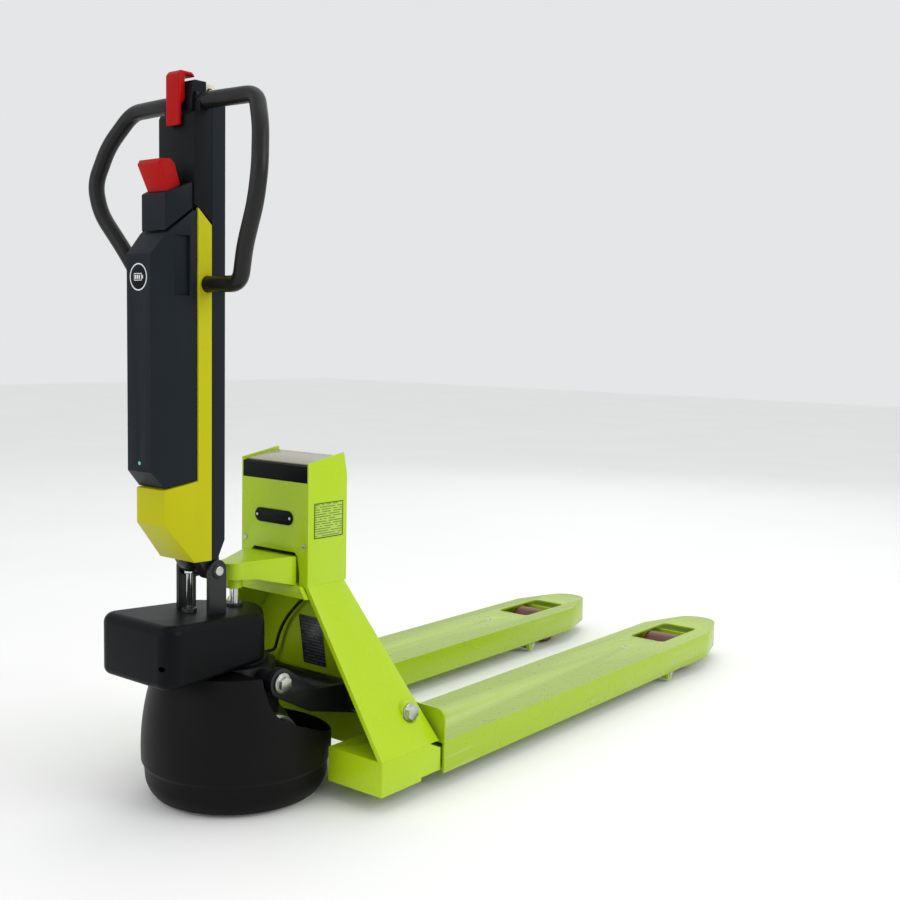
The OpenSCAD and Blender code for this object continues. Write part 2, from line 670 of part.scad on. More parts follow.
module drive_cover() color("#17191c") place() difference() {
    cover_block(0);
    difference() {
        cover_block(3);
        translate([0, st_y, cover_back_top - 20]) cylinder(r = 17, h = 30);
    }
    translate([0, st_y, 200]) cylinder(r = 59, h = 60);
    translate([0, st_y, 200]) cylinder(r = 14 + gap, h = 200);
    translate([0, roll_y, 300]) cylinder(r = 12 + gap, h = 60);
    translate([-ear_x - ear_t - 2, pivot_y - 20, cover_back_top - 20])
        cube([2 * (ear_x + ear_t + 2), 40, 40]);
}

module tiller_bracket() color("#141618") place() difference() {
    union() {
        for (s = [1, -1]) side(s) yz(ear_x, ear_x + ear_t) {
            translate([pivot_y - 18, 302]) square([36, pivot_z - 302]);
            translate([pivot_y, pivot_z]) circle(r = 18);
        }
        for (s = [1, -1]) side(s) bar_x(ear_x + ear_t - 1, ear_x + ear_t + 3, pivot_y, pivot_z, 12);
        translate([-ear_x - ear_t, pivot_y - 18, 300]) cube([2 * (ear_x + ear_t), 36, 12]);
    }
    bar_x(-60, 60, pivot_y, pivot_z, 8 + fit);
    translate([0, roll_y, 290]) cylinder(r = 12 + gap, h = 60);
}

module tiller_pin() color("gray") place() {
    bar_x(-ear_x - ear_t - 5, ear_x + ear_t + 5, pivot_y, pivot_z, 8);
}

module pump_plunger() color("silver") place() {
    translate([0, roll_y, 279]) cylinder(r = 5, h = roll_z - roll_r - 5.5 - 279);
    translate([0, roll_y, roll_z - roll_r - 5.5]) cylinder(r = 8, h = 4);
}

module pump_roller() color("#222222") place() difference() {
    bar_x(-9, 9, roll_y, roll_z, roll_r);
    bar_x(-20, 20, roll_y, roll_z, 4 + fit);
}

// ---- tiller ----

module tiller_base() color("#17191c") place() difference() {
    union() {
        for (s = [1, -1]) side(s) yz(10, ear_x - 1) {
            link2d([pivot_y, pivot_z], 16, [roll_y + 4, roll_z + 6], 10);
            polygon([[pivot_y - 16, pivot_z], [pivot_y + 11, pivot_z + 8], [pivot_y + 6, pivot_z + 46],
                [pivot_y - 30, pivot_z + 46], [pivot_y - 33, pivot_z + 22]]);
        }
        translate([-ear_x + 1, pivot_y - 30, pivot_z + 34]) cube([2 * (ear_x - 1), 36, 12]);
        bar_x(-11, 11, pivot_y, pivot_z, 12);
        bar_x(-11, 11, roll_y, roll_z, 4);
    }
    bar_x(-60, 60, pivot_y, pivot_z, 8 + fit);
}

module tiller_tube() color("dimgray") place() translate([0, -316, pivot_z + 46])
    linear_extrude(head_z - pivot_z - 112) difference() {
    round_rect(56, 30, 4);
    round_rect(50, 24, 2);
}

// Plan of the tiller's front shells: flat front, slanted cheeks
module prow(half, front_half, front, back) polygon([[half, back], [-half, back], [-half, cheek_y],
    [-front_half, front],
    [front_half, front], [half, cheek_y]]);

// Outline across the tiller: full width with sloped shoulders
module shoulders(z0, z1) polygon([[-hw, z0], [-hw, z1 - 12], [-hw + 10, z1], [hw - 10, z1],
    [hw, z1 - 12], [hw, z0]]);

module column_back() color("#343b42") place() difference() {
    union() {
        intersection() {
            yz(-hw, hw) polygon([[col_seam + 0.2, shell_foot + 3], [col_back - 14, shell_foot + 5],
                [col_back, shell_foot + 34], [col_back, shoulder_z - 16], [col_back - 8, shoulder_z],
                    [col_seam + 0.2, shoulder_z]]);
            xz(col_seam, col_back) shoulders(shell_foot, shoulder_z);
        }
        // ears for the lift rocker's pin
        for (s = [1, -1]) side(s) yz(17, 20) {
            translate([rocker_y, rocker_h]) circle(r = 4);
            translate([rocker_y - 4, shoulder_z - wall]) square([8, rocker_h - shoulder_z + wall]);
        }
    }
    translate([-hw + wall, col_seam - 1, shell_foot - 1])
        cube([column_w - 2 * wall, col_back - col_seam - wall + 1, shoulder_z - shell_foot - wall]);
    loop_bores();
    bar_x(-25, 25, rocker_y, rocker_h, 2 + fit);
}

// Side outline of the front shell, set in by a margin
module front_outline(m) polygon([[col_seam + (m > 0 ? 1 : 0), shell_foot + 3 + m],
    [col_seam + (m > 0 ? 1 : 0), strip_top - 25 - m],
    [strip_y + m / 2, strip_top - m], [strip_y + m / 2, pack_z + 8 - m], [shell_front + m, pack_z - 3 - m],
    [shell_front + m, 478 + m / 2], [head_front, shell_foot + 4 + m]]);

module column_front() color("#b4bc30") place() difference() {
    intersection() {
        translate([0, 0, 400]) linear_extrude(700) prow(hw, shell_hw, shell_front, col_seam);
        yz(-hw, hw) front_outline(0);
    }
    intersection() {
        translate([0, 0, 400]) linear_extrude(700) prow(hw - wall, shell_hw - wall, shell_front + wall,
            col_seam + 1);
        yz(-hw, hw) front_outline(wall);
    }
    // mouth below for the tiller's base and the pump roller
    translate([-ear_x - 1, -350, shell_foot - 10]) cube([2 * ear_x + 2, 60, 40]);
    // way for the tube between the two cheek strips beside the battery
    translate([-hw + 6, strip_y - 5, pack_z + 20])
        cube([column_w - 12, col_seam - strip_y + 6, strip_top - pack_z]);
    loop_bores();
}

module head_housing() color("#22272c") place() difference() {
    intersection() {
        yz(-hw, hw) polygon([[col_seam - 0.2, strip_top - 20], [head_front, strip_top + 6],
            [head_front, head_z - 56],
            [head_front + 7, head_z - 43], [head_front + 7, head_z - 6], [head_front + 13, head_z],
                [col_seam - 0.2, head_z]]);
        xz(head_front - 1, col_seam) {
            shoulders(900, shoulder_z);
            translate([-head_hw, 900]) square([2 * head_hw, head_z - 900]);
        }
    }
    translate([-hw + wall, head_front + wall, 900]) cube([column_w - 2 * wall, 60, head_z - 900 - 62]);
    // step down to the wide shoulders, in front of the loop handles
    for (s = [1, -1]) side(s) translate([head_hw, head_front - 1, head_z - 50]) cube([20, 12, 60]);
    loop_bores();
}

// Ways through the shells for the loop handles' ends
module loop_bores() for (s = [1, -1]) side(s) {
    bar_x(30, 60, loop_top[0][1], loop_top[0][2], loop_d / 2 + fit);
    bar_x(30, 60, loop_end[1], loop_end[2], loop_d / 2 + fit);
}

module control_dock() color("#2a3036") place() difference() {
    intersection() {
        translate([0, 0, 900]) linear_extrude(160) prow(40, 29, dock_front, head_front - 0.2);
        yz(-hw, hw) polygon([[dock_front, pack_top + 8], [strip_y - 8, pack_top + 46],
            [strip_y - 8, 1012], [dock_front, 990]]);
    }
    // pocket for the speed lever
    translate([-26.5, dock_front + 5, 958]) cube([53, 38, 80]);
}

module battery_pack() color("#2c3238") place() difference() {
    intersection() {
        translate([0, 0, 500]) linear_extrude(500) prow(40, 29, battery_front, strip_y - 0.5);
        yz(-hw, hw) polygon([[strip_y - 0.5, pack_z + 10], [dock_front - 4, pack_z],
            [battery_front, pack_z + 26],
            [battery_front, pack_top - 28], [dock_front, pack_top + 4], [strip_y - 8.2, pack_top + 42],
                [strip_y - 0.5, pack_top + 42]]);
    }
    // finger recess in each cheek
    for (s = [1, -1]) side(s) translate([34, -384, 836]) cube([20, 26, 92]);
    translate([0, battery_front + 1.5, 862]) rotate([90, 0, 0]) cylinder(r = 22 + fit, h = 10);
    translate([0, battery_front + 3, 576]) rotate([90, 0, 0]) cylinder(r = 3 + fit, h = 10);
}

module pack_badge() color("#d8dadc") place()
    translate([0, battery_front + 1.5, 862]) rotate([90, 0, 0]) cylinder(r = 22, h = 1.5);

module pack_led() color("#6ec8aa") place()
    translate([0, battery_front + 3, 576]) rotate([90, 0, 0]) cylinder(r = 3, h = 3);

// Route of a loop handle's centre line: from the head, out and down, back to the column
loop_top = [[hw - 8, -328, head_z - 31], [hw + 21, -328, head_z - 31], [150, -322, head_z - 31],
    [184, -345, head_z - 85], [200, -361, head_z - 148],
    [188, -358, head_z - 196], [146, -341, head_z - 258], [118, -325, head_z - 313]];
loop_end = [hw - 8, -325, head_z - 313];
module loop_handle(s) color("#101112") side(s) place()
    swept(rounded(concat(loop_top, [loop_end]), 22, 6), loop_d / 2, 20, [0, 1, 0.15]);

module belly_button() color("#b01010") place() yz(-16, 16)
    polygon([for (p = [[-9, -70], [-9, 7], [-3, 14], [20, 14], [26, 7], [5.5, 7], [5.5, -31],
        [-1.5, -38], [-1.5, -70]])
        [head_front + p[0], head_z + p[1]]]);

module speed_lever() color("#b01010") place() {
    yz(-25, 25) polygon([[-384, 968], [-388, 996], [-407, 1034], [-403, 1041], [-384, 1043],
        [-376, 1037], [-362, 996], [-368, 968]]);
    bar_x(-26, 26, lever_hinge_y, lever_hinge_z, 5);
}

module lift_rocker() color("#d8d4c4") place() {
    yz(-16, 16) polygon([for (p = [[-13, -5], [-13, 9], [-9, 12], [10, 10], [14, 5], [13, -5]])
        [rocker_y + p[0], rocker_h + p[1]]]);
    bar_x(-20, 20, rocker_y, rocker_h, 2);
}

fork_beam(1);  // fork_beam_right
fork_beam(-1);  // fork_beam_left
side_arm(1);  // side_arm_right
side_arm(-1);  // side_arm_left
cross_plate();
mast_plate();
lift_bracket();
fork_shell(1);  // fork_shell_right
fork_shell(-1);  // fork_shell_left
load_cells();
fork_screws();
indicator_housing();
indicator_unit();
indicator_window();
slot_cover();
indicator_screws();
indicator_board();
piston_rod();
axle_bolts();
frame_pins();
signal_cable();
data_label();
mast_label();
rocker();
push_rod(1);  // push_rod_right
push_rod(-1);  // push_rod_left
roller_frame(1);  // roller_frame_right
roller_frame(-1);  // roller_frame_left
roller_axle(1);  // roller_axle_right
roller_axle(-1);  // roller_axle_left
load_roller(1);  // load_roller_right
load_roller(-1);  // load_roller_left
seat_bearing();
skirt();
seat_bolts();
pump_body();
wheel_fork();
drive_cover();
tiller_bracket();
tiller_pin();
drive_axle();
axle_caps();
hub_motor();
drive_tyre();
pump_plunger();
pump_roller();
tiller_base();
tiller_tube();
column_back();
column_front();
head_housing();
control_dock();
battery_pack();
pack_badge();
pack_led();
loop_handle(1);  // loop_handle_right
loop_handle(-1);  // loop_handle_left
belly_button();
speed_lever();
lift_rocker();
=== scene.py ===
"""An electric pallet truck with a weighing indicator: welded lime-green frame, steered drive unit under
black covers, upright tiller with a battery pack. Lengths are in metres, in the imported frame."""
import math

import bmesh
import bpy
from mathutils import Matrix, Vector


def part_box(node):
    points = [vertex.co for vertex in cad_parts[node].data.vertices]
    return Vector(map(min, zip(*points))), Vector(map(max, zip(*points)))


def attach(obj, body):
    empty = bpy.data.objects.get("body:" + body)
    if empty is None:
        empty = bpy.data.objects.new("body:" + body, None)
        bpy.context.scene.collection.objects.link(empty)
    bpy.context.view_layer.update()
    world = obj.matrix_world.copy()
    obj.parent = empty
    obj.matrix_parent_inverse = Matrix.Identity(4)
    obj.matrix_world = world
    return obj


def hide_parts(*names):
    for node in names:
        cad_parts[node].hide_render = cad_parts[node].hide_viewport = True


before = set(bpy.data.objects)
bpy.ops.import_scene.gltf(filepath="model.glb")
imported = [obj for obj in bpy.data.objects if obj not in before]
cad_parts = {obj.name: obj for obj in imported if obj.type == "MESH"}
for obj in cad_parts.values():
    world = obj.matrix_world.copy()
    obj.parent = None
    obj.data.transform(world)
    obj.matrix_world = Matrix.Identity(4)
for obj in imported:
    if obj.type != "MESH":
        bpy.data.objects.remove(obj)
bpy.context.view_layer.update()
MM = 0.001

# ---------------------------------------------------------------- camera, floor and lights
# A pale seamless floor and four soft lamps: the key on the truck's right, a fill on the operator's side,
# one overhead and one behind the forks.


def new_object(name, data):
    """An object in the scene that holds the given data."""
    thing = bpy.data.objects.new(name, data)
    bpy.context.collection.objects.link(thing)
    return thing


def turn_about(axis, degrees):
    """A turn about one axis, as a matrix."""
    return Matrix.Rotation(math.radians(degrees), 4, axis)


camera_data = bpy.data.cameras.new("camera")
camera_data.sensor_width = 36.0
camera_data.lens = 46.92
camera_data.clip_end = 60.0
camera = new_object("camera", camera_data)
camera_spot, azimuth, tilt_down, roll = (1.4937, -1.9075, 0.7765), 38.17, 5.39, 1.14
camera.matrix_world = (Matrix.Translation(camera_spot) @ turn_about("Z", azimuth)
                       @ turn_about("X", 90 - tilt_down) @ turn_about("Z", roll))
bpy.context.scene.camera = camera


def linear(hex_colour):
    """The linear RGBA of an sRGB hex colour."""
    parts = [int(hex_colour[i:i + 2], 16) / 255 for i in (1, 3, 5)]
    return [c / 12.92 if c <= 0.04045 else ((c + 0.055) / 1.055) ** 2.4 for c in parts] + [1.0]


def add(tree, kind, inputs=None, **settings):
    """Adds a node: settings are its properties, inputs its sockets' values or what feeds them."""
    node = tree.nodes.new(kind)
    for key, value in settings.items():
        setattr(node, key, value)
    for key, value in (inputs or {}).items():
        if isinstance(value, bpy.types.NodeSocket):
            tree.links.new(value, node.inputs[key])
        else:
            node.inputs[key].default_value = value
    return node


def new_finish(name, **sockets):
    """An empty finish: its material, tree, shader and object coordinates."""
    material = bpy.data.materials.new(name)
    material.use_nodes = True
    tree = material.node_tree
    shader = tree.nodes["Principled BSDF"]
    for key, value in sockets.items():
        shader.inputs[key.replace("_", " ")].default_value = value
    return material, tree, shader, add(tree, "ShaderNodeTexCoord").outputs["Object"]


def floor_finish():
    """Matt pale floor paint with the faintest mottling."""
    material, tree, shader, place = new_finish("pale_floor", Roughness=0.85)
    mottle = add(tree, "ShaderNodeTexNoise", {"Vector": place, "Scale": 1.5, "Detail": 3.0})
    tint = add(tree, "ShaderNodeValToRGB", {"Fac": mottle.outputs["Fac"]})
    tint.color_ramp.elements[0].color = linear("#F4F4F3")
    tint.color_ramp.elements[1].color = linear("#FAFAF9")
    tree.links.new(tint.outputs["Color"], shader.inputs["Base Color"])
    return material


def to_mesh(bm, name):
    """Hands a worked shape over as a finished mesh."""
    mesh = bpy.data.meshes.new(name)
    bm.to_mesh(mesh)
    bm.free()
    return mesh


floor_bm = bmesh.new()
bmesh.ops.create_grid(floor_bm, x_segments=1, y_segments=1, size=14.0)
floor = new_object("floor", to_mesh(floor_bm, "floor"))
floor.data.materials.append(floor_finish())

world = bpy.data.worlds.new("studio")
world.use_nodes = True
sky = world.node_tree.nodes["Background"]
sky.inputs["Color"].default_value = linear("#F6F7F8")
sky.inputs["Strength"].default_value = 0.85
bpy.context.scene.world = world
bpy.context.scene.view_settings.view_transform = "Standard"

aim = Vector((0.0, -0.2, 0.35))
for lamp_name, spot, size, power in (("key_lamp", (3.4, 0.4, 2.4), 2.2, 49.0),
                                     ("top_lamp", (0.2, 0.4, 3.6), 3.0, 20.0),
                                     ("fill_lamp", (-0.8, -3.8, 1.6), 2.5, 22.0),
                                     ("back_lamp", (-1.5, 3.4, 2.4), 2.5, 14.0)):
    lamp_data = bpy.data.lights.new(lamp_name, "AREA")
    lamp_data.size = size
    lamp_data.energy = power
    lamp = new_object(lamp_name, lamp_data)
    lamp.location = spot
    lamp.rotation_euler = (aim - Vector(spot)).to_track_quat("-Z", "Y").to_euler()

# ---------------------------------------------------------------- welded frame
# Folded and plasma-cut steel plate with a cast lift bracket, welded together and powder coated in one
# glossy lime. The coat rounds every edge a little and shows a fine orange peel.


def powder_coat(name, hex_colour, shade_hex, scuffs=0.0):
    """Powder coat on steel: glossy, even, orange peel of about 2 mm; scuffs run along the forks."""
    material, tree, shader, place = new_finish(name, IOR=1.5, Specular_IOR_Level=0.3, Coat_Weight=0.14,
                                               Coat_Roughness=0.12)
    drift = add(tree, "ShaderNodeTexNoise", {"Vector": place, "Scale": 5.0, "Detail": 4.0})
    tint = add(tree, "ShaderNodeMix", {"Factor": drift.outputs["Fac"], "A": linear(shade_hex),
                                         "B": linear(hex_colour)}, data_type="RGBA")
    colour = tint.outputs["Result"]
    dust = add(tree, "ShaderNodeTexNoise", {"Vector": place, "Scale": 38.0, "Detail": 8.0,
                                            "Roughness": 0.7})
    rough = add(tree, "ShaderNodeMapRange", {"Value": dust.outputs["Fac"], "From Min": 0.3, "From Max": 0.7,
                                             "To Min": 0.24, "To Max": 0.36})
    gloss = rough.outputs["Result"]
    if scuffs:
        along = add(tree, "ShaderNodeMapping", {"Vector": place, "Scale": (260.0, 5.0, 60.0)})
        scratch = add(tree, "ShaderNodeTexNoise", {"Vector": along.outputs["Vector"], "Scale": 1.0,
                                                   "Detail": 5.0})
        line = add(tree, "ShaderNodeMapRange", {"Value": scratch.outputs["Fac"], "From Min": 0.62,
                                                "From Max": 0.72, "To Max": scuffs})
        worn = add(tree, "ShaderNodeMix", {"Factor": line.outputs["Result"], "A": colour,
                                           "B": linear("#C4CFA0")}, data_type="RGBA")
        colour = worn.outputs["Result"]
        dull = add(tree, "ShaderNodeMath", {0: line.outputs["Result"], 1: 0.5, 2: gloss},
                   operation="MULTIPLY_ADD")
        gloss = dull.outputs["Value"]
    tree.links.new(colour, shader.inputs["Base Color"])
    tree.links.new(gloss, shader.inputs["Roughness"])
    peel = add(tree, "ShaderNodeTexNoise", {"Vector": place, "Scale": 480.0, "Detail": 2.0})
    bump = add(tree, "ShaderNodeBump", {"Height": peel.outputs["Fac"], "Strength": 0.10,
                                        "Distance": 0.2 * MM})
    tree.links.new(bump.outputs["Normal"], shader.inputs["Normal"])
    return material


lime_coat = powder_coat("lime_powder_coat", "#AECD10", "#A6C50C")
# the forks' coat is the frame's lime painted darker as painted shade on the forks, with real scuffs
# streaked along them
scuffed_shaded_fork_coat = powder_coat("lime_powder_coat_scuffed_shaded", "#9FBC10", "#98B50C", scuffs=0.3)


def place_piece(name, mesh, body, slot, finish, *nodes):
    """Puts a finished mesh in the scene on its body, in the place of its CAD nodes."""
    piece = new_object(name, mesh)
    mesh.materials.clear()
    mesh.materials.append(finish)
    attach(piece, body)
    if nodes:
        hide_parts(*nodes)
    return piece


def round_edges(piece, width, segments=3, angle=30.0):
    """Rounds a piece's sharp edges to a radius."""
    bevel = piece.modifiers.new("rounded edges", "BEVEL")
    bevel.width = width
    bevel.segments = segments
    bevel.limit_method = "ANGLE"
    bevel.angle_limit = math.radians(angle)
    bevel.harden_normals = True
    return piece


def rounded_copy(node, name, body, slot, finish, width, segments=3):
    """A merged copy of a CAD node with whole flat faces and rounded edges."""
    bm = bmesh.new()
    bm.from_mesh(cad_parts[node].data)
    bmesh.ops.remove_doubles(bm, verts=bm.verts, dist=0.02 * MM)
    bmesh.ops.dissolve_limit(bm, angle_limit=math.radians(0.5), verts=bm.verts, edges=bm.edges,
                             delimit=set())
    for face in bm.faces:
        face.smooth = True
    return round_edges(place_piece(name, to_mesh(bm, name), body, slot, finish, node), width, segments)


for side in ("right", "left"):
    rounded_copy("fork_beam_" + side, "inner_fork_" + side, "frame", "lime_paint", lime_coat, 1.2 * MM, 2)
    rounded_copy("side_arm_" + side, "mast_arm_" + side, "frame", "lime_paint", lime_coat, 1.6 * MM)
    rounded_copy("fork_shell_" + side, "weigh_fork_" + side, "frame", "lime_paint", scuffed_shaded_fork_coat, 1.8 * MM)
rounded_copy("cross_plate", "mast_cross_plate", "frame", "lime_paint", lime_coat, 1.4 * MM)
rounded_copy("mast_plate", "mast_front_plate", "frame", "lime_paint", lime_coat, 1.0 * MM, 2)
rounded_copy("lift_bracket", "cast_lift_bracket", "frame", "lime_paint", lime_coat, 5.0 * MM, 5)


def bead(name, start, end, radius, body, finish):
    """A weld bead between two points: a rippled cord of metal."""
    start, end = Vector(start), Vector(end)
    count = max(4, int((end - start).length / (3.2 * MM)))
    curve = bpy.data.curves.new(name, "CURVE")
    curve.dimensions = "3D"
    curve.bevel_depth = radius
    curve.bevel_resolution = 3
    curve.use_fill_caps = True
    spline = curve.splines.new("POLY")
    spline.points.add(count)
    for i, point in enumerate(spline.points):
        point.co = (*start.lerp(end, i / count), 1.0)
        point.radius = 0.86 + 0.14 * (i % 2) + 0.1 * math.sin(i * 1.7)
    curve.materials.append(finish)
    piece = new_object(name, curve)
    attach(piece, body)
    return piece


cross_low, cross_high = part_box("cross_plate")
for side, turn in (("right", 1), ("left", -1)):
    arm_low, arm_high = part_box("side_arm_" + side)
    foot_x = turn * (max(abs(arm_low[0]), abs(arm_high[0])) - 11.0 * MM)
    bead("foot_weld_" + side, (foot_x, arm_low[1] + 3 * MM, arm_low[2]),
         (foot_x, arm_high[1] - 16 * MM, arm_low[2]), 2.6 * MM, "frame", lime_coat)
    bead("head_weld_" + side,
         (turn * (cross_high[0] - 1.5 * MM), cross_low[1] - 0.5 * MM, cross_low[2] + 1 * MM),
         (turn * (cross_high[0] - 15 * MM), cross_low[1] - 0.5 * MM, cross_high[2] - 1 * MM),
         2.4 * MM, "frame", lime_coat)
    bead("bracket_weld_" + side, (turn * 57 * MM, cross_low[1] + 3 * MM, cross_high[2] + 0.5 * MM),
         (turn * 51 * MM, cross_low[1] + 30 * MM, cross_high[2] + 0.5 * MM),
         3.0 * MM, "frame", lime_coat)

# ---------------------------------------------------------------- bolts, screws, pins and rods
# Machined steel: zinc-plated fasteners and pins, a ground and hard-chromed piston rod.


def plated_steel(name, hex_colour, roughness):
    """Bright plating on steel: a pale metal with a soft bloom and fine turning marks 0.5 mm apart."""
    material, tree, shader, place = new_finish(name, Metallic=1.0)
    bloom = add(tree, "ShaderNodeTexNoise", {"Vector": place, "Scale": 90.0, "Detail": 5.0})
    tint = add(tree, "ShaderNodeMix", {"Factor": bloom.outputs["Fac"], "A": linear("#9FA09C"),
                                         "B": linear(hex_colour)}, data_type="RGBA")
    tree.links.new(tint.outputs["Result"], shader.inputs["Base Color"])
    rough = add(tree, "ShaderNodeMapRange", {"Value": bloom.outputs["Fac"], "To Min": roughness,
                                             "To Max": roughness + 0.16})
    tree.links.new(rough.outputs["Result"], shader.inputs["Roughness"])
    marks = add(tree, "ShaderNodeTexWave", {"Vector": place, "Scale": 300.0, "Distortion": 1.0},
                bands_direction="X")
    bump = add(tree, "ShaderNodeBump", {"Height": marks.outputs["Fac"], "Strength": 0.08,
                                        "Distance": 0.1 * MM})
    tree.links.new(bump.outputs["Normal"], shader.inputs["Normal"])
    return material


zinc = plated_steel("bright_zinc_plate", "#D4D5D0", 0.24)
hard_chrome = plated_steel("hard_chrome", "#EEF0F2", 0.05)
for node, name, body, width in (("fork_screws", "countersunk_screws", "frame", 0.2),
                                ("indicator_screws", "housing_screws", "frame", 0.6),
                                ("axle_bolts", "rocker_axle_bolts", "frame", 0.9),
                                ("frame_pins", "roller_frame_pins", "frame", 0.8),
                                ("seat_bolts", "yoke_bolts", "seat", 0.9),
                                ("drive_axle", "wheel_axle", "drive", 1.0),
                                ("tiller_pin", "tiller_hinge_pin", "drive", 1.2),
                                ("roller_axle_right", "axle_of_right_roller", "roller_frame_right", 0.9),
                                ("roller_axle_left", "axle_of_left_roller", "roller_frame_left", 0.9)):
    rounded_copy(node, name, body, "zinc_steel", zinc, width * MM, 2)
rounded_copy("piston_rod", "lift_piston_rod", "frame", "chromed_steel", hard_chrome, 0.6 * MM, 2)
rounded_copy("pump_plunger", "pump_plunger_rod", "plunger", "chromed_steel", hard_chrome, 0.6 * MM, 2)

# ---------------------------------------------------------------- load cells
# Milled aluminium bending beams between the frame and the weigh forks.


def milled_aluminium(name, hex_colour, roughness):
    """Aluminium fresh from the cutter: pale, with parallel tool marks about 1.5 mm apart."""
    material, tree, shader, place = new_finish(name, Metallic=1.0, Roughness=roughness,
                                               Base_Color=linear(hex_colour))
    marks = add(tree, "ShaderNodeTexWave", {"Vector": place, "Scale": 100.0, "Distortion": 0.6,
                                            "Detail": 2.0}, bands_direction="Y")
    bump = add(tree, "ShaderNodeBump", {"Height": marks.outputs["Fac"], "Strength": 0.12,
                                        "Distance": 0.2 * MM})
    tree.links.new(bump.outputs["Normal"], shader.inputs["Normal"])
    return material


rounded_copy("load_cells", "bending_beam_cells", "frame", "cell_aluminium",
             milled_aluminium("milled_aluminium", "#CFD1D2", 0.32), 0.5 * MM, 2)

# ---------------------------------------------------------------- indicator on the mast
# A folded steel housing in the frame's lime holds a black moulded weighing unit; its sloping top is a
# glossy keypad film. A black plate covers the connector slot, a junction board sits inside.


def moulded_plastic(name, hex_colour, roughness, grain=0.8, depth=0.35, variation="#000000"):
    """Injection-moulded plastic: even colour, a spark-eroded grain in mm, soft sheen."""
    material, tree, shader, place = new_finish(name, IOR=1.48, Specular_IOR_Level=0.1)
    drift = add(tree, "ShaderNodeTexNoise", {"Vector": place, "Scale": 14.0, "Detail": 5.0})
    share = add(tree, "ShaderNodeMapRange", {"Value": drift.outputs["Fac"], "To Min": 0.0, "To Max": 0.16})
    tint = add(tree, "ShaderNodeMix", {"Factor": share.outputs["Result"], "A": linear(hex_colour),
                                         "B": linear(variation)}, data_type="RGBA")
    tree.links.new(tint.outputs["Result"], shader.inputs["Base Color"])
    rough = add(tree, "ShaderNodeMapRange", {"Value": drift.outputs["Fac"], "To Min": roughness - 0.05,
                                             "To Max": roughness + 0.08})
    tree.links.new(rough.outputs["Result"], shader.inputs["Roughness"])
    cells = add(tree, "ShaderNodeTexVoronoi", {"Vector": place, "Scale": 1.0 / (grain * MM)})
    bump = add(tree, "ShaderNodeBump", {"Height": cells.outputs["Distance"], "Strength": depth,
                                        "Distance": 0.12 * MM})
    tree.links.new(bump.outputs["Normal"], shader.inputs["Normal"])
    return material


black_moulding = moulded_plastic("black_moulded_abs", "#07080A", 0.42, 1.1, 0.30, "#14161A")
rounded_copy("indicator_housing", "folded_indicator_housing", "frame", "lime_paint", lime_coat, 0.9 * MM, 3)
rounded_copy("indicator_unit", "weighing_unit", "frame", "black_plastic", black_moulding, 1.0 * MM, 3)
rounded_copy("slot_cover", "slot_cover_plate", "frame", "black_plastic", black_moulding, 0.5 * MM, 2)


def keypad_film():
    """Clear-coated keypad film: warm grey with a fine speckle."""
    material, tree, shader, place = new_finish("keypad_film", Roughness=0.34, Coat_Weight=0.6,
                                               Coat_Roughness=0.08)
    speckle = add(tree, "ShaderNodeTexNoise", {"Vector": place, "Scale": 260.0, "Detail": 8.0,
                                               "Roughness": 0.8})
    tint = add(tree, "ShaderNodeValToRGB", {"Fac": speckle.outputs["Fac"]})
    tint.color_ramp.elements[0].position = 0.3
    tint.color_ramp.elements[0].color = linear("#75705C")
    tint.color_ramp.elements[1].position = 0.7
    tint.color_ramp.elements[1].color = linear("#A8A288")
    tree.links.new(tint.outputs["Color"], shader.inputs["Base Color"])
    return material


rounded_copy("indicator_window", "keypad_plate", "frame", "window_film", keypad_film(), 0.5 * MM, 2)


def solder_mask():
    """Green solder mask over copper tracks about 2 mm apart."""
    material, tree, shader, place = new_finish("green_solder_mask", Roughness=0.35, Coat_Weight=0.3)
    tracks = add(tree, "ShaderNodeTexBrick", {"Vector": place, "Scale": 120.0, "Color1": linear("#174A26"),
                                              "Color2": linear("#1C5A2E"), "Mortar": linear("#2F8A4A")})
    tree.links.new(tracks.outputs["Color"], shader.inputs["Base Color"])
    return material


rounded_copy("indicator_board", "junction_board", "frame", "board_green", solder_mask(), 0.3 * MM, 2)


def ruled_film(name, hex_ground, hex_mark, rows_per_metre, across, up):
    """A printed film with plain broken rules in place of writing."""
    dash = 5.5 * MM
    material, tree, shader, place = new_finish(name, Roughness=0.4, Coat_Weight=0.2)
    parts = add(tree, "ShaderNodeSeparateXYZ", {"Vector": place})
    row = add(tree, "ShaderNodeMath", {0: parts.outputs[up], 1: rows_per_metre}, operation="MULTIPLY")
    part = add(tree, "ShaderNodeMath", {0: row.outputs["Value"]}, operation="FRACT")
    rule = add(tree, "ShaderNodeMath", {0: part.outputs["Value"], 1: 0.42}, operation="LESS_THAN")
    number = add(tree, "ShaderNodeMath", {0: row.outputs["Value"]}, operation="FLOOR")
    spread = add(tree, "ShaderNodeCombineXYZ", {"X": parts.outputs[across], "Y": number.outputs["Value"]})
    share = add(tree, "ShaderNodeVectorMath", {0: spread.outputs["Vector"], 1: (1 / dash, 1.0, 1.0)},
                operation="MULTIPLY")
    cell = add(tree, "ShaderNodeVectorMath", {0: share.outputs["Vector"]}, operation="FLOOR")
    breaks = add(tree, "ShaderNodeTexWhiteNoise", {"Vector": cell.outputs["Vector"]})
    kept = add(tree, "ShaderNodeMath", {0: breaks.outputs["Value"], 1: 0.78}, operation="LESS_THAN")
    mark = add(tree, "ShaderNodeMath", {0: rule.outputs["Value"], 1: kept.outputs["Value"]},
               operation="MULTIPLY")
    tint = add(tree, "ShaderNodeMix", {"Factor": mark.outputs["Value"], "A": linear(hex_ground),
                                       "B": linear(hex_mark)}, data_type="RGBA")
    tree.links.new(tint.outputs["Result"], shader.inputs["Base Color"])
    return material


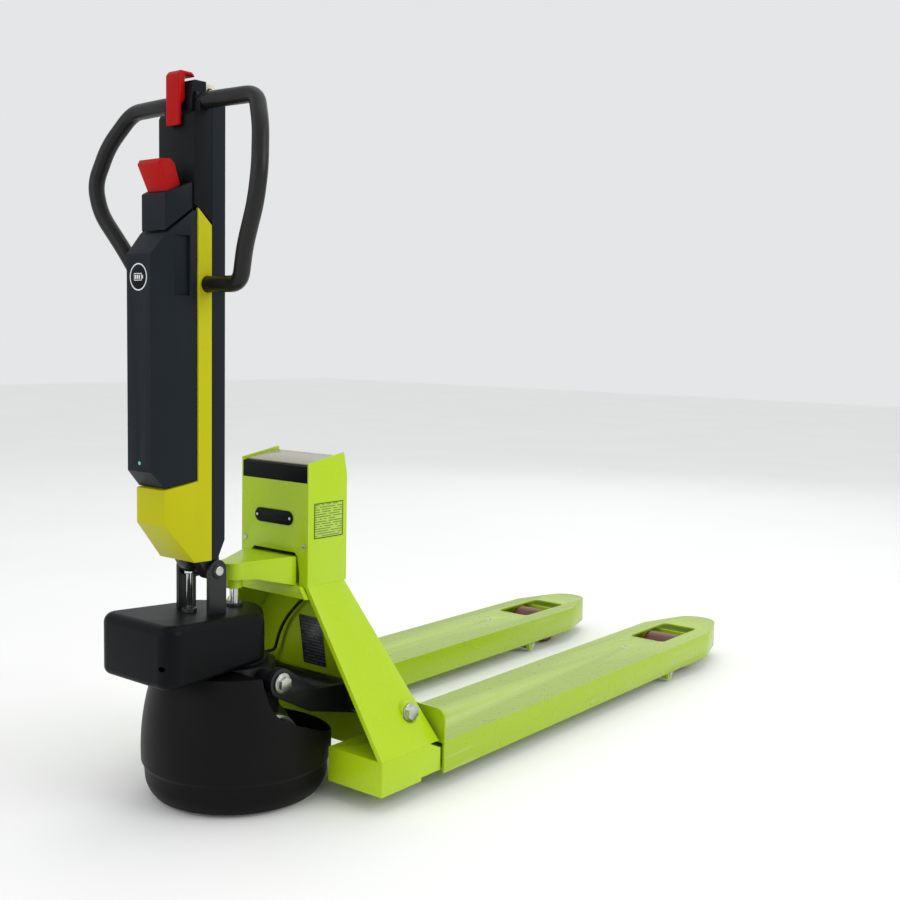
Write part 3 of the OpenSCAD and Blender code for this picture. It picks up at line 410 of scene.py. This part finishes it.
rounded_copy("data_label", "ruled_data_label", "frame", "label_film",
             ruled_film("printed_lime_film", "#A3C436", "#65781F", 240.0, "Y", "Z"), 0.1 * MM, 1)
rounded_copy("mast_label", "ruled_mast_label", "frame", "dark_label",
             ruled_film("printed_dark_film", "#2B2E31", "#5C6166", 160.0, "X", "Z"), 0.1 * MM, 1)


def label_frame(name, low, high, x, thickness, line, finish):
    """A thin printed border round the data label: the rim of its face, lifted a little."""
    bm = bmesh.new()
    bmesh.ops.create_grid(bm, x_segments=1, y_segments=1, size=0.5)
    bmesh.ops.scale(bm, vec=(high[1] - low[1], high[2] - low[2], 1), verts=bm.verts)
    rim = bmesh.ops.inset_region(bm, faces=bm.faces[:], thickness=line, use_boundary=True,
                                 use_even_offset=True)["faces"]
    bmesh.ops.delete(bm, geom=[f for f in bm.faces if f not in rim], context="FACES")
    lifted = bmesh.ops.extrude_face_region(bm, geom=bm.faces[:])["geom"]
    bmesh.ops.translate(bm, vec=(0, 0, thickness),
                        verts=[v for v in lifted if isinstance(v, bmesh.types.BMVert)])
    # stood up, so that its width runs along Y and its height along Z
    upright = Matrix(((0, 0, 1), (1, 0, 0), (0, 1, 0)))
    bmesh.ops.rotate(bm, cent=(0, 0, 0), verts=bm.verts, matrix=upright)
    bmesh.ops.translate(bm, vec=(x, (low[1] + high[1]) / 2, (low[2] + high[2]) / 2), verts=bm.verts)
    bmesh.ops.recalc_face_normals(bm, faces=bm.faces)
    return place_piece(name, to_mesh(bm, name), "frame", "label_film", finish)


label_low, label_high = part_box("data_label")
label_frame("data_label_border", label_low, label_high, label_high[0] - 0.2 * MM, 0.4 * MM, 1.6 * MM,
            moulded_plastic("dark_green_ink", "#4C5E1C", 0.4))

# ---------------------------------------------------------------- load cell cable
# A 6 mm rubber-sheathed cable, clipped between the mast's cross plate and the left heel box.


def soft_rubber(name, hex_colour, roughness):
    """Extruded or dipped rubber: near black, satin, with a faint bloom."""
    material, tree, shader, place = new_finish(name, IOR=1.45, Specular_IOR_Level=0.3)
    bloom = add(tree, "ShaderNodeTexNoise", {"Vector": place, "Scale": 30.0, "Detail": 6.0,
                                             "Roughness": 0.6})
    tint = add(tree, "ShaderNodeMix", {"Factor": bloom.outputs["Fac"], "A": linear(hex_colour),
                                         "B": linear("#1D1C1B")}, data_type="RGBA")
    tree.links.new(tint.outputs["Result"], shader.inputs["Base Color"])
    rough = add(tree, "ShaderNodeMapRange", {"Value": bloom.outputs["Fac"], "To Min": roughness - 0.06,
                                             "To Max": roughness + 0.1})
    tree.links.new(rough.outputs["Result"], shader.inputs["Roughness"])
    grain = add(tree, "ShaderNodeTexNoise", {"Vector": place, "Scale": 900.0, "Detail": 3.0})
    bump = add(tree, "ShaderNodeBump", {"Height": grain.outputs["Fac"], "Strength": 0.18,
                                        "Distance": 0.15 * MM})
    tree.links.new(bump.outputs["Normal"], shader.inputs["Normal"])
    return material


def rounded_route(points, radius, steps=8):
    """A route with each corner replaced by a smooth bend that starts a radius before it."""
    route = [Vector(points[0])]
    for before, corner, after in zip(points, points[1:], points[2:]):
        corner = Vector(corner)
        back = (Vector(before) - corner).normalized() * radius
        on = (Vector(after) - corner).normalized() * radius
        route += [corner + back * (1 - t) ** 2 + on * t * t for t in (k / steps for k in range(steps + 1))]
    return route + [Vector(points[-1])]


def tube(name, route, radius, body, slot, finish, *nodes):
    """A round tube or cable along a route."""
    curve = bpy.data.curves.new(name, "CURVE")
    curve.dimensions = "3D"
    curve.bevel_depth = radius
    curve.bevel_resolution = 8
    curve.use_fill_caps = True
    spline = curve.splines.new("POLY")
    spline.points.add(len(route) - 1)
    for point, spot in zip(spline.points, route):
        point.co = (*spot, 1.0)
    spline.use_smooth = True
    curve.materials.append(finish)
    piece = new_object(name, curve)
    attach(piece, body)
    if nodes:
        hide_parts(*nodes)
    return piece


# the routes below are in mm from the back of the forks, which lies here
heel_y = -360.0 * MM
cable_route = [(20, -68, 341), (20, -68, 329), (6, -62, 314), (-26, -56, 289), (-54, -52, 264),
               (-73, -49, 241), (-86, -46, 221), (-101, -42, 187), (-124, -62, 180), (-136, -88, 160),
               (-150, -96, 122), (-165, -97, 106), (-165, -97, 89)]
cable_line = rounded_route([(x * MM, y * MM + heel_y, z * MM) for x, y, z in cable_route], 9 * MM)
tube("load_cell_cable", cable_line, 3 * MM, "frame", "cable_rubber",
     soft_rubber("pvc_cable_sheath", "#0C0C0D", 0.4), "signal_cable")

# ---------------------------------------------------------------- rocker, push rods and roller frames
# Flame-cut and welded steel painted satin black; the rods and roller frames are left in grey phosphate.


def satin_paint(name, hex_colour, highlight_hex, roughness):
    """Sprayed satin paint on rolled steel: slight runs in the gloss, pits about 1 mm apart."""
    material, tree, shader, place = new_finish(name, IOR=1.5, Specular_IOR_Level=0.35, Coat_Weight=0.06,
                                               Coat_Roughness=0.3)
    film = add(tree, "ShaderNodeTexNoise", {"Vector": place, "Scale": 22.0, "Detail": 7.0,
                                            "Roughness": 0.65})
    tint = add(tree, "ShaderNodeMix", {"Factor": film.outputs["Fac"], "A": linear(hex_colour),
                                         "B": linear(highlight_hex)}, data_type="RGBA")
    tree.links.new(tint.outputs["Result"], shader.inputs["Base Color"])
    rough = add(tree, "ShaderNodeMapRange", {"Value": film.outputs["Fac"], "To Min": roughness - 0.08,
                                             "To Max": roughness + 0.12})
    tree.links.new(rough.outputs["Result"], shader.inputs["Roughness"])
    pits = add(tree, "ShaderNodeTexNoise", {"Vector": place, "Scale": 700.0, "Detail": 4.0})
    bump = add(tree, "ShaderNodeBump", {"Height": pits.outputs["Fac"], "Strength": 0.25,
                                        "Distance": 0.15 * MM})
    tree.links.new(bump.outputs["Normal"], shader.inputs["Normal"])
    return material


black_paint = satin_paint("satin_black_paint", "#0E0F11", "#1B1C1F", 0.38)
grey_phosphate = satin_paint("grey_phosphate", "#6A6B68", "#8F908B", 0.5)
rounded_copy("rocker", "torsion_rocker", "rocker", "black_steel", black_paint, 1.6 * MM)
for side in ("right", "left"):
    rounded_copy("push_rod_" + side, "lift_rod_" + side, "push_rod_" + side, "grey_steel",
                 grey_phosphate, 1.0 * MM, 2)
    rounded_copy("roller_frame_" + side, "roller_carrier_" + side, "roller_frame_" + side, "grey_steel",
                 grey_phosphate, 0.9 * MM, 2)
rounded_copy("tiller_tube", "tiller_core", "tiller", "grey_steel", grey_phosphate, 0.6 * MM, 2)

# ---------------------------------------------------------------- load rollers
# A red-brown polyurethane tread cast on a steel core; the core carries a sealed bearing at each end.


def cast_polyurethane():
    """Cast polyurethane: deep red-brown, waxy gloss, dulled where it runs on the floor."""
    material, tree, shader, place = new_finish("cast_polyurethane", IOR=1.5, Subsurface_Weight=0.05)
    shader.inputs["Subsurface Radius"].default_value = (0.004, 0.001, 0.001)
    wear = add(tree, "ShaderNodeTexNoise", {"Vector": place, "Scale": 60.0, "Detail": 6.0})
    tint = add(tree, "ShaderNodeMix", {"Factor": wear.outputs["Fac"], "A": linear("#4A241B"),
                                         "B": linear("#6E3A2C")}, data_type="RGBA")
    tree.links.new(tint.outputs["Result"], shader.inputs["Base Color"])
    rough = add(tree, "ShaderNodeMapRange", {"Value": wear.outputs["Fac"], "To Min": 0.3, "To Max": 0.5})
    tree.links.new(rough.outputs["Result"], shader.inputs["Roughness"])
    return material


def revolve(bm, profile, axis, steps, centre=(0, 0, 0), merge=0.01 * MM):
    """Turns a closed profile once round an axis."""
    corners = [bm.verts.new(spot) for spot in profile]
    ring = [bm.edges.new(pair) for pair in zip(corners, corners[1:] + corners[:1])]
    bmesh.ops.spin(bm, geom=corners + ring, cent=centre, axis=axis, angle=2 * math.pi, steps=steps,
                   use_merge=True)
    bmesh.ops.remove_doubles(bm, verts=bm.verts, dist=merge)


def turned(name, profile, centre, steps, body, slot, finish, *nodes):
    """A piece turned about the X axis from a closed profile of (x, radius) points."""
    bm = bmesh.new()
    revolve(bm, [(x, 0.0, r) for x, r in profile], (1, 0, 0), steps)
    bmesh.ops.recalc_face_normals(bm, faces=bm.faces)
    bmesh.ops.translate(bm, vec=centre, verts=bm.verts)
    for face in bm.faces:
        face.smooth = True
    return place_piece(name, to_mesh(bm, name), body, slot, finish, *nodes)


def arc(cx, cr, radius, start, end, steps=5):
    """Points of a quarter round in a (x, radius) profile, angles in degrees from the x axis."""
    turns = [math.radians(start + (end - start) * k / steps) for k in range(steps + 1)]
    return [(cx + radius * math.cos(a), cr + radius * math.sin(a)) for a in turns]


polyurethane = cast_polyurethane()
for side in ("right", "left"):
    low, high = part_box("load_roller_" + side)
    centre = [(a + b) / 2 for a, b in zip(low, high)]
    half, tread_r = (high[0] - low[0]) / 2, (high[2] - low[2]) / 2
    core_r, edge = tread_r * 0.66, 5 * MM
    tread = ([(-half + 1 * MM, core_r)] + arc(-half + edge, tread_r - edge, edge, 180, 90)
             + arc(half - edge, tread_r - edge, edge, 90, 0) + [(half - 1 * MM, core_r)])
    turned("roller_tread_" + side, tread, centre, 72, "load_roller_" + side, "roller_polyurethane",
           polyurethane, "load_roller_" + side)
    # one end of the core: its rim, the recessed web and the bearing's face
    bore_r, bearing_r = 8.2 * MM, 12 * MM
    end = [(half, bore_r), (half, bearing_r), (half - 5 * MM, bearing_r + 1 * MM),
           (half - 5 * MM, core_r - 6 * MM), (half - 2 * MM, core_r - 5 * MM), (half - 2 * MM, core_r)]
    core = turned("roller_core_" + side, [(-x, r) for x, r in reversed(end)] + end, centre, 48,
                  "load_roller_" + side, "zinc_steel", zinc)
    round_edges(core, 0.4 * MM, 2)

# ---------------------------------------------------------------- drive unit
# The seat bearing stands still and carries the skirt; inside it the pump body, wheel fork and hub motor
# steer with the tiller. Castings and forgings in satin black.

rounded_copy("seat_bearing", "steering_seat", "seat", "black_steel", black_paint, 1.6 * MM)
rounded_copy("pump_body", "hydraulic_pump", "drive", "black_steel", black_paint, 1.2 * MM)
rounded_copy("wheel_fork", "drive_wheel_fork", "drive", "black_steel", black_paint, 1.6 * MM)
rounded_copy("tiller_bracket", "tiller_clevis", "drive", "black_steel", black_paint, 1.4 * MM, 4)
rounded_copy("tiller_base", "tiller_foot_casting", "tiller", "black_steel", black_paint, 1.2 * MM)
rounded_copy("pump_roller", "pump_cam_roller", "pump_roller", "black_steel", black_paint, 1.0 * MM, 3)
turned_aluminium = milled_aluminium("turned_aluminium", "#C9CBCC", 0.3)
rounded_copy("hub_motor", "hub_motor_shell", "drive_wheel", "motor_aluminium", turned_aluminium, 1.2 * MM)
rounded_copy("axle_caps", "axle_clamp_flanges", "drive", "motor_aluminium", turned_aluminium, 0.8 * MM, 2)


def tyre_rubber():
    """Solid rubber tyre: charcoal, dusty on the tread, with shallow wear marks."""
    material, tree, shader, place = new_finish("solid_tyre_rubber", IOR=1.45, Roughness=0.72)
    dust = add(tree, "ShaderNodeTexNoise", {"Vector": place, "Scale": 45.0, "Detail": 8.0,
                                            "Roughness": 0.7})
    tint = add(tree, "ShaderNodeMix", {"Factor": dust.outputs["Fac"], "A": linear("#141414"),
                                         "B": linear("#2E2C2A")}, data_type="RGBA")
    tree.links.new(tint.outputs["Result"], shader.inputs["Base Color"])
    bump = add(tree, "ShaderNodeBump", {"Height": dust.outputs["Fac"], "Strength": 0.4,
                                        "Distance": 0.3 * MM})
    tree.links.new(bump.outputs["Normal"], shader.inputs["Normal"])
    return material


tyre_low, tyre_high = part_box("drive_tyre")
wheel_centre = [(a + b) / 2 for a, b in zip(tyre_low, tyre_high)]
tyre_half, tyre_r = (tyre_high[0] - tyre_low[0]) / 2, (tyre_high[2] - tyre_low[2]) / 2
rim_r, shoulder, groove_r = tyre_r - 19 * MM, 7 * MM, tyre_r - 3 * MM
tyre_profile = [(-tyre_half, rim_r)] + arc(-tyre_half + shoulder, tyre_r - shoulder, shoulder, 180, 90)
for groove in (-12 * MM, 12 * MM):
    tyre_profile += [(groove - 2 * MM, tyre_r), (groove - 1.4 * MM, groove_r),
                     (groove + 1.4 * MM, groove_r), (groove + 2 * MM, tyre_r)]
tyre_profile += arc(tyre_half - shoulder, tyre_r - shoulder, shoulder, 90, 0) + [(tyre_half, rim_r)]
turned("grooved_drive_tyre", tyre_profile, wheel_centre, 120, "drive_wheel", "drive_rubber",
       tyre_rubber(), "drive_tyre")

# ---------------------------------------------------------------- skirt
# A black rotationally moulded bell round the drive wheel: full height in front, swept down towards the
# forks to clear the rocker, with a stepped band and a rolled lower edge.


def carve(piece, cutter):
    """Cuts one shape out of another and drops the cutter."""
    cut = piece.modifiers.new("cut", "BOOLEAN")
    cut.operation = "DIFFERENCE"
    cut.solver = "EXACT"
    cut.object = cutter
    bpy.context.view_layer.update()
    done = bpy.data.meshes.new_from_object(piece.evaluated_get(bpy.context.evaluated_depsgraph_get()))
    piece.modifiers.clear()
    piece.data = done
    bpy.data.objects.remove(cutter)


def prism_x(name, outline, x0, x1):
    """A solid pushed along X from a (y, z) outline."""
    bm = bmesh.new()
    face = bm.faces.new([bm.verts.new((x0, y, z)) for y, z in outline])
    lifted = bmesh.ops.extrude_face_region(bm, geom=[face])["geom"]
    bmesh.ops.translate(bm, vec=(x1 - x0, 0, 0),
                        verts=[v for v in lifted if isinstance(v, bmesh.types.BMVert)])
    bmesh.ops.recalc_face_normals(bm, faces=bm.faces)
    return new_object(name, to_mesh(bm, name))


skirt_low, skirt_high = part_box("skirt")
skirt_r = (skirt_high[0] - skirt_low[0]) / 2
skirt_y = skirt_low[1] + skirt_r
skirt_wall = 4 * MM


def skirt_side(z):
    """Outer radius of the skirt at a height: a swelling bell over a stepped band and a rolled edge."""
    h = z / MM
    if h > 62:
        return skirt_r - 0.00124 * MM * (h - 83) ** 2
    if h > 56:
        return skirt_r - 0.55 * MM - (62 - h) * 0.72 * MM
    if h > 38:
        return skirt_r - 4.9 * MM - 0.1 * MM * (56 - h)
    return skirt_r - 6.7 * MM - 0.0135 * MM * (38 - h) ** 2


skirt_top = skirt_high[2] - 0.2 * MM
skirt_levels = ([skirt_low[2] + k * 2.6 * MM for k in range(12)]
                + [k * MM for k in (42, 48, 53, 55, 57, 59, 61, 63, 66, 72)]
                + [(80 + 8 * k) * MM for k in range(18)] + [skirt_top])
outer = [(skirt_side(z), z) for z in skirt_levels]
inner = [(r - skirt_wall, z) for r, z in reversed(outer)]
bell = bmesh.new()
revolve(bell, [(r, 0, z) for r, z in outer + inner], (0, 0, 1), 160)
bmesh.ops.translate(bell, vec=(0, skirt_y, 0), verts=bell.verts)
bmesh.ops.recalc_face_normals(bell, faces=bell.faces)
# the brownish drift mixed into the black is a painted sheen: warm patches of highlight over the skirt and
# its roof
skirt_finish = moulded_plastic("black_rotomoulded_skirt", "#0C0B0C", 0.42, 1.6, 0.5, "#2A2522")
skirt = place_piece("moulded_skirt", to_mesh(bell, "moulded_skirt"), "seat", "black_plastic",
                    skirt_finish, "skirt")
steer_y = (tyre_low[1] + tyre_high[1]) / 2
sweep = [(-48, 240), (-49, 212), (-48, 200), (-47, 190), (-44, 180), (-40, 172), (-35, 165), (-28, 159),
         (-16, 151.5), (-2, 145), (12, 138.8), (27, 133), (45, 125), (65, 117), (95, 106), (135, 96),
         (180, 90), (180, 240)]
carve(skirt, prism_x("skirt_sweep", [(steer_y + y * MM, z * MM) for y, z in sweep], -0.25, 0.25))
for polygon in skirt.data.polygons:
    polygon.use_smooth = True
skirt.data.set_sharp_from_angle(angle=math.radians(38))

# the skirt's inner roof, which bolts to the seat bearing
roof_r, seat_r = skirt_side(skirt_top) - 2 * MM, 70.5 * MM
roof_foot, roof_top = skirt_top - 4.5 * MM, skirt_top - 0.3 * MM
roof = bmesh.new()
revolve(roof, [(seat_r, 0, roof_foot), (roof_r, 0, roof_foot),
               (roof_r, 0, roof_top), (seat_r, 0, roof_top)], (0, 0, 1), 96)
bmesh.ops.translate(roof, vec=(0, steer_y, 0), verts=roof.verts)
# its outer edge follows the skirt, whose centre isn't quite the seat's
rim = [v for v in roof.verts if (v.co.xy - Vector((0, steer_y))).length > 90 * MM]
bmesh.ops.translate(roof, vec=(0, skirt_y - steer_y, 0), verts=rim)
bmesh.ops.bisect_plane(roof, geom=roof.verts[:] + roof.edges[:] + roof.faces[:],
                       plane_co=(0, steer_y - 49 * MM, 0), plane_no=(0, 1, 0), clear_outer=True)
bmesh.ops.holes_fill(roof, edges=[e for e in roof.edges if e.is_boundary], sides=0)
bmesh.ops.recalc_face_normals(roof, faces=roof.faces)
place_piece("skirt_roof", to_mesh(roof, "skirt_roof"), "seat", "black_plastic", skirt_finish)

# ---------------------------------------------------------------- upper cover
# A black moulded hood over the pump that steers with the tiller: wide rounded front, cheeks with a flat
# recessed panel, narrower round the piston rod.

cover_low, cover_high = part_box("drive_cover")
front_y, rear_y = cover_low[1], steer_y + 2 * MM
front_z, rear_z = (cover_low[2], cover_high[2]), (cover_low[2] + 10 * MM, cover_high[2] - 12 * MM)
front_r, rear_r, nose_r = 28 * MM, 24 * MM, 49.5 * MM
rounds = [(turn * (cover_high[0] - front_r), front_y + front_r, front_r) for turn in (1, -1)]
rounds += [(turn * (cover_high[0] - rear_r - 2 * MM), rear_y - rear_r, rear_r) for turn in (1, -1)]
rounds += [(0.0, steer_y, nose_r)]


def hood_ring(inset, top, drop, count=120):
    """One ring of the hood's plan, set in by a margin, a drop away from its bottom or its sloping top."""
    ring = []
    for k in range(count):
        turn = 2 * math.pi * (k + 0.5) / count
        c, s = math.cos(turn), math.sin(turn)
        x0, y0, r = max(rounds, key=lambda spot: spot[0] * c + spot[1] * s + spot[2])
        x, y = x0 + (r - inset) * c, y0 + (r - inset) * s
        along = min(1.0, (y - front_y) / (rear_y - front_y))
        z = front_z[top] + (rear_z[top] - front_z[top]) * along
        ring.append((x, y, z - drop if top else z + drop))
    return ring


hood = bmesh.new()
foot, crown = 13 * MM, 17 * MM
quarter = [math.radians(9 * k) for k in range(11)]
rings = [hood_ring(foot * (1 - math.sin(a)), 0, foot * (1 - math.cos(a))) for a in quarter]
rings += [hood_ring(crown * (1 - math.sin(a)), 1, crown * (1 - math.cos(a))) for a in reversed(quarter)]
rings = [[hood.verts.new(spot) for spot in ring] for ring in rings]
for ring_pair in zip(rings, rings[1:]):
    loops = [hood.edges.get((a, b)) or hood.edges.new((a, b))
             for ring in ring_pair for a, b in zip(ring, ring[1:] + ring[:1])]
    bmesh.ops.bridge_loops(hood, edges=loops)
hood.faces.new(rings[-1])
hood.faces.new(reversed(rings[0]))
bmesh.ops.recalc_face_normals(hood, faces=hood.faces)
hood_finish = moulded_plastic("black_moulded_hood", "#06070A", 0.40, 1.1, 0.3, "#14171C")
hood_piece = place_piece("moulded_hood", to_mesh(hood, "moulded_hood"), "drive", "black_plastic",
                         hood_finish, "drive_cover")


def rounded_panel(corners, radius, steps=6):
    """A (y, z) outline whose corners are rounded."""
    outline = []
    for before, corner, after in zip(corners[-1:] + corners[:-1], corners, corners[1:] + corners[:1]):
        corner = Vector(corner)
        back = (Vector(before) - corner).normalized() * radius
        on = (Vector(after) - corner).normalized() * radius
        outline += [corner + back * (1 - t) ** 2 + on * t * t
                    for t in (k / steps for k in range(steps + 1))]
    return [tuple(spot) for spot in outline]


panel = rounded_panel([(front_y + 25 * MM, front_z[0] + 3 * MM), (front_y + 25 * MM, front_z[1] - 10 * MM),
                       (rear_y - 5 * MM, rear_z[1] - 8 * MM),
                       (rear_y - 5 * MM, rear_z[0] + 12 * MM)], 13 * MM)
for turn in (1, -1):
    carve(hood_piece, prism_x("panel_cut", panel, turn * (cover_high[0] - 1.6 * MM),
                              turn * (cover_high[0] + 20 * MM)))
# the oval key hole in the hood's front right corner
key_hole = bmesh.new()
bmesh.ops.create_cone(key_hole, cap_ends=True, segments=32, radius1=4 * MM, radius2=4 * MM, depth=30 * MM)
bmesh.ops.scale(key_hole, vec=(1.0, 1.5, 1.0), verts=key_hole.verts)
for axis, degrees in (("X", 90), ("Y", 90), ("Z", 35)):
    bmesh.ops.rotate(key_hole, cent=(0, 0, 0), verts=key_hole.verts,
                     matrix=Matrix.Rotation(math.radians(degrees), 3, axis))
bmesh.ops.translate(key_hole, vec=(cover_high[0] - 22 * MM, front_y + 8 * MM, front_z[0] + 36 * MM),
                    verts=key_hole.verts)
carve(hood_piece, new_object("hole_cut", to_mesh(key_hole, "hole_cut")))
for polygon in hood_piece.data.polygons:
    polygon.use_smooth = True
hood_piece.data.set_sharp_from_angle(angle=math.radians(35))

# ---------------------------------------------------------------- tiller shells
# Moulded halves over a steel tube: slate-grey back and head, a satin lime front.

slate = moulded_plastic("slate_moulded_abs", "#161C22", 0.42, 1.0, 0.30, "#283038")
lime_shell = moulded_plastic("lime_moulded_abs", "#B4B310", 0.38, 1.0, 0.16, "#A29E0C")
rounded_copy("column_back", "tiller_back_shell", "tiller", "slate_plastic", slate, 1.4 * MM, 3)
rounded_copy("column_front", "tiller_front_shell", "tiller", "lime_plastic", lime_shell, 1.4 * MM, 3)
rounded_copy("head_housing", "tiller_head_shell", "tiller", "slate_plastic",
             moulded_plastic("black_slate_abs", "#0B0E11", 0.42, 1.0, 0.3, "#1A1F24"), 1.4 * MM, 3)
rounded_copy("control_dock", "speed_lever_pocket", "tiller", "slate_plastic", slate, 2.0 * MM, 4)
rounded_copy("battery_pack", "battery_pack_case", "tiller", "slate_plastic", slate, 3.0 * MM, 4)
rounded_copy("pack_led", "charge_led", "tiller", "led_lens",
             moulded_plastic("teal_led_lens", "#6EC8AA", 0.2, 2.0, 0.0, "#8FE0C4"), 0.5 * MM, 2)

# ---------------------------------------------------------------- battery badge
# A round printed film on the battery: a plain ring with a simple battery symbol.

badge_low, badge_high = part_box("pack_badge")
badge_centre = [(a + b) / 2 for a, b in zip(badge_low, badge_high)]
badge_r = (badge_high[0] - badge_low[0]) / 2
rounded_copy("pack_badge", "battery_badge", "tiller", "badge_film", black_moulding, 0.4 * MM, 2)
white_ink = moulded_plastic("white_ink", "#D9DBDD", 0.35, 1.0, 0.0, "#C9CBCD")


def flat_bar(bm, x, z, width, height):
    """One raised bar of the badge's symbol, facing the operator."""
    made = bmesh.ops.create_cube(bm, size=1.0)["verts"]
    bmesh.ops.scale(bm, vec=(width, 0.5 * MM, height), verts=made)
    bmesh.ops.translate(bm, vec=(badge_centre[0] + x, badge_low[1] + 0.1 * MM, badge_centre[2] + z),
                        verts=made)


print_bm = bmesh.new()
# the four sides of a battery, its pole and three charge bars
for x, z, width, height in ((-10, 0, 1.2, 11), (8, 0, 1.2, 11), (-1, 5, 18, 1.2), (-1, -5, 18, 1.2),
                            (10, 0, 2.4, 5), (-6.5, 0, 3, 6), (-2, 0, 3, 6), (2.5, 0, 3, 6)):
    flat_bar(print_bm, x * MM, z * MM, width * MM, height * MM)
ring_in, ring_out = badge_centre[0] + badge_r * 0.86, badge_centre[0] + badge_r * 0.95
ring_face, ring_back = badge_low[1] - 0.15 * MM, badge_low[1] + 0.3 * MM
ring_section = [(ring_in, ring_face), (ring_out, ring_face), (ring_out, ring_back), (ring_in, ring_back)]
revolve(print_bm, [(x, y, badge_centre[2]) for x, y in ring_section], (0, 1, 0), 64, badge_centre,
        merge=0.001 * MM)
bmesh.ops.recalc_face_normals(print_bm, faces=print_bm.faces)
place_piece("badge_symbol", to_mesh(print_bm, "badge_symbol"), "tiller", "badge_film", white_ink)

# ---------------------------------------------------------------- loop handles
# Bent steel tube in a dipped black sleeve, one loop each side of the head.

sleeve = soft_rubber("dipped_black_sleeve", "#0D0D0E", 0.36)
loop_route = [(35, -328, 1137), (64, -328, 1137), (150, -322, 1137), (184, -345, 1083), (200, -361, 1020),
              (188, -358, 972), (146, -341, 910), (118, -325, 855), (35, -325, 855)]
for side, turn in (("right", 1), ("left", -1)):
    bend = rounded_route([(turn * x * MM, y * MM + heel_y, z * MM) for x, y, z in loop_route], 22 * MM)
    tube("hand_loop_" + side, bend, 13 * MM, "tiller", "grip_coating", sleeve, "loop_handle_" + side)

# ---------------------------------------------------------------- controls
# Red moulded belly button over the head, red speed lever in its pocket, cream lift rocker behind.

red = moulded_plastic("red_moulded_abs", "#A80606", 0.3, 1.0, 0.08, "#800404")
rounded_copy("belly_button", "belly_switch_cap", "belly_button", "red_plastic", red, 4.0 * MM, 5)
rounded_copy("speed_lever", "speed_lever_paddle", "speed_lever", "red_plastic", red, 3.0 * MM, 5)
rounded_copy("lift_rocker", "lift_and_lower_rocker", "lift_rocker", "cream_plastic",
             moulded_plastic("cream_moulded_abs", "#D8D2BE", 0.4, 1.0, 0.2, "#C8C1AC"), 0.9 * MM, 3)
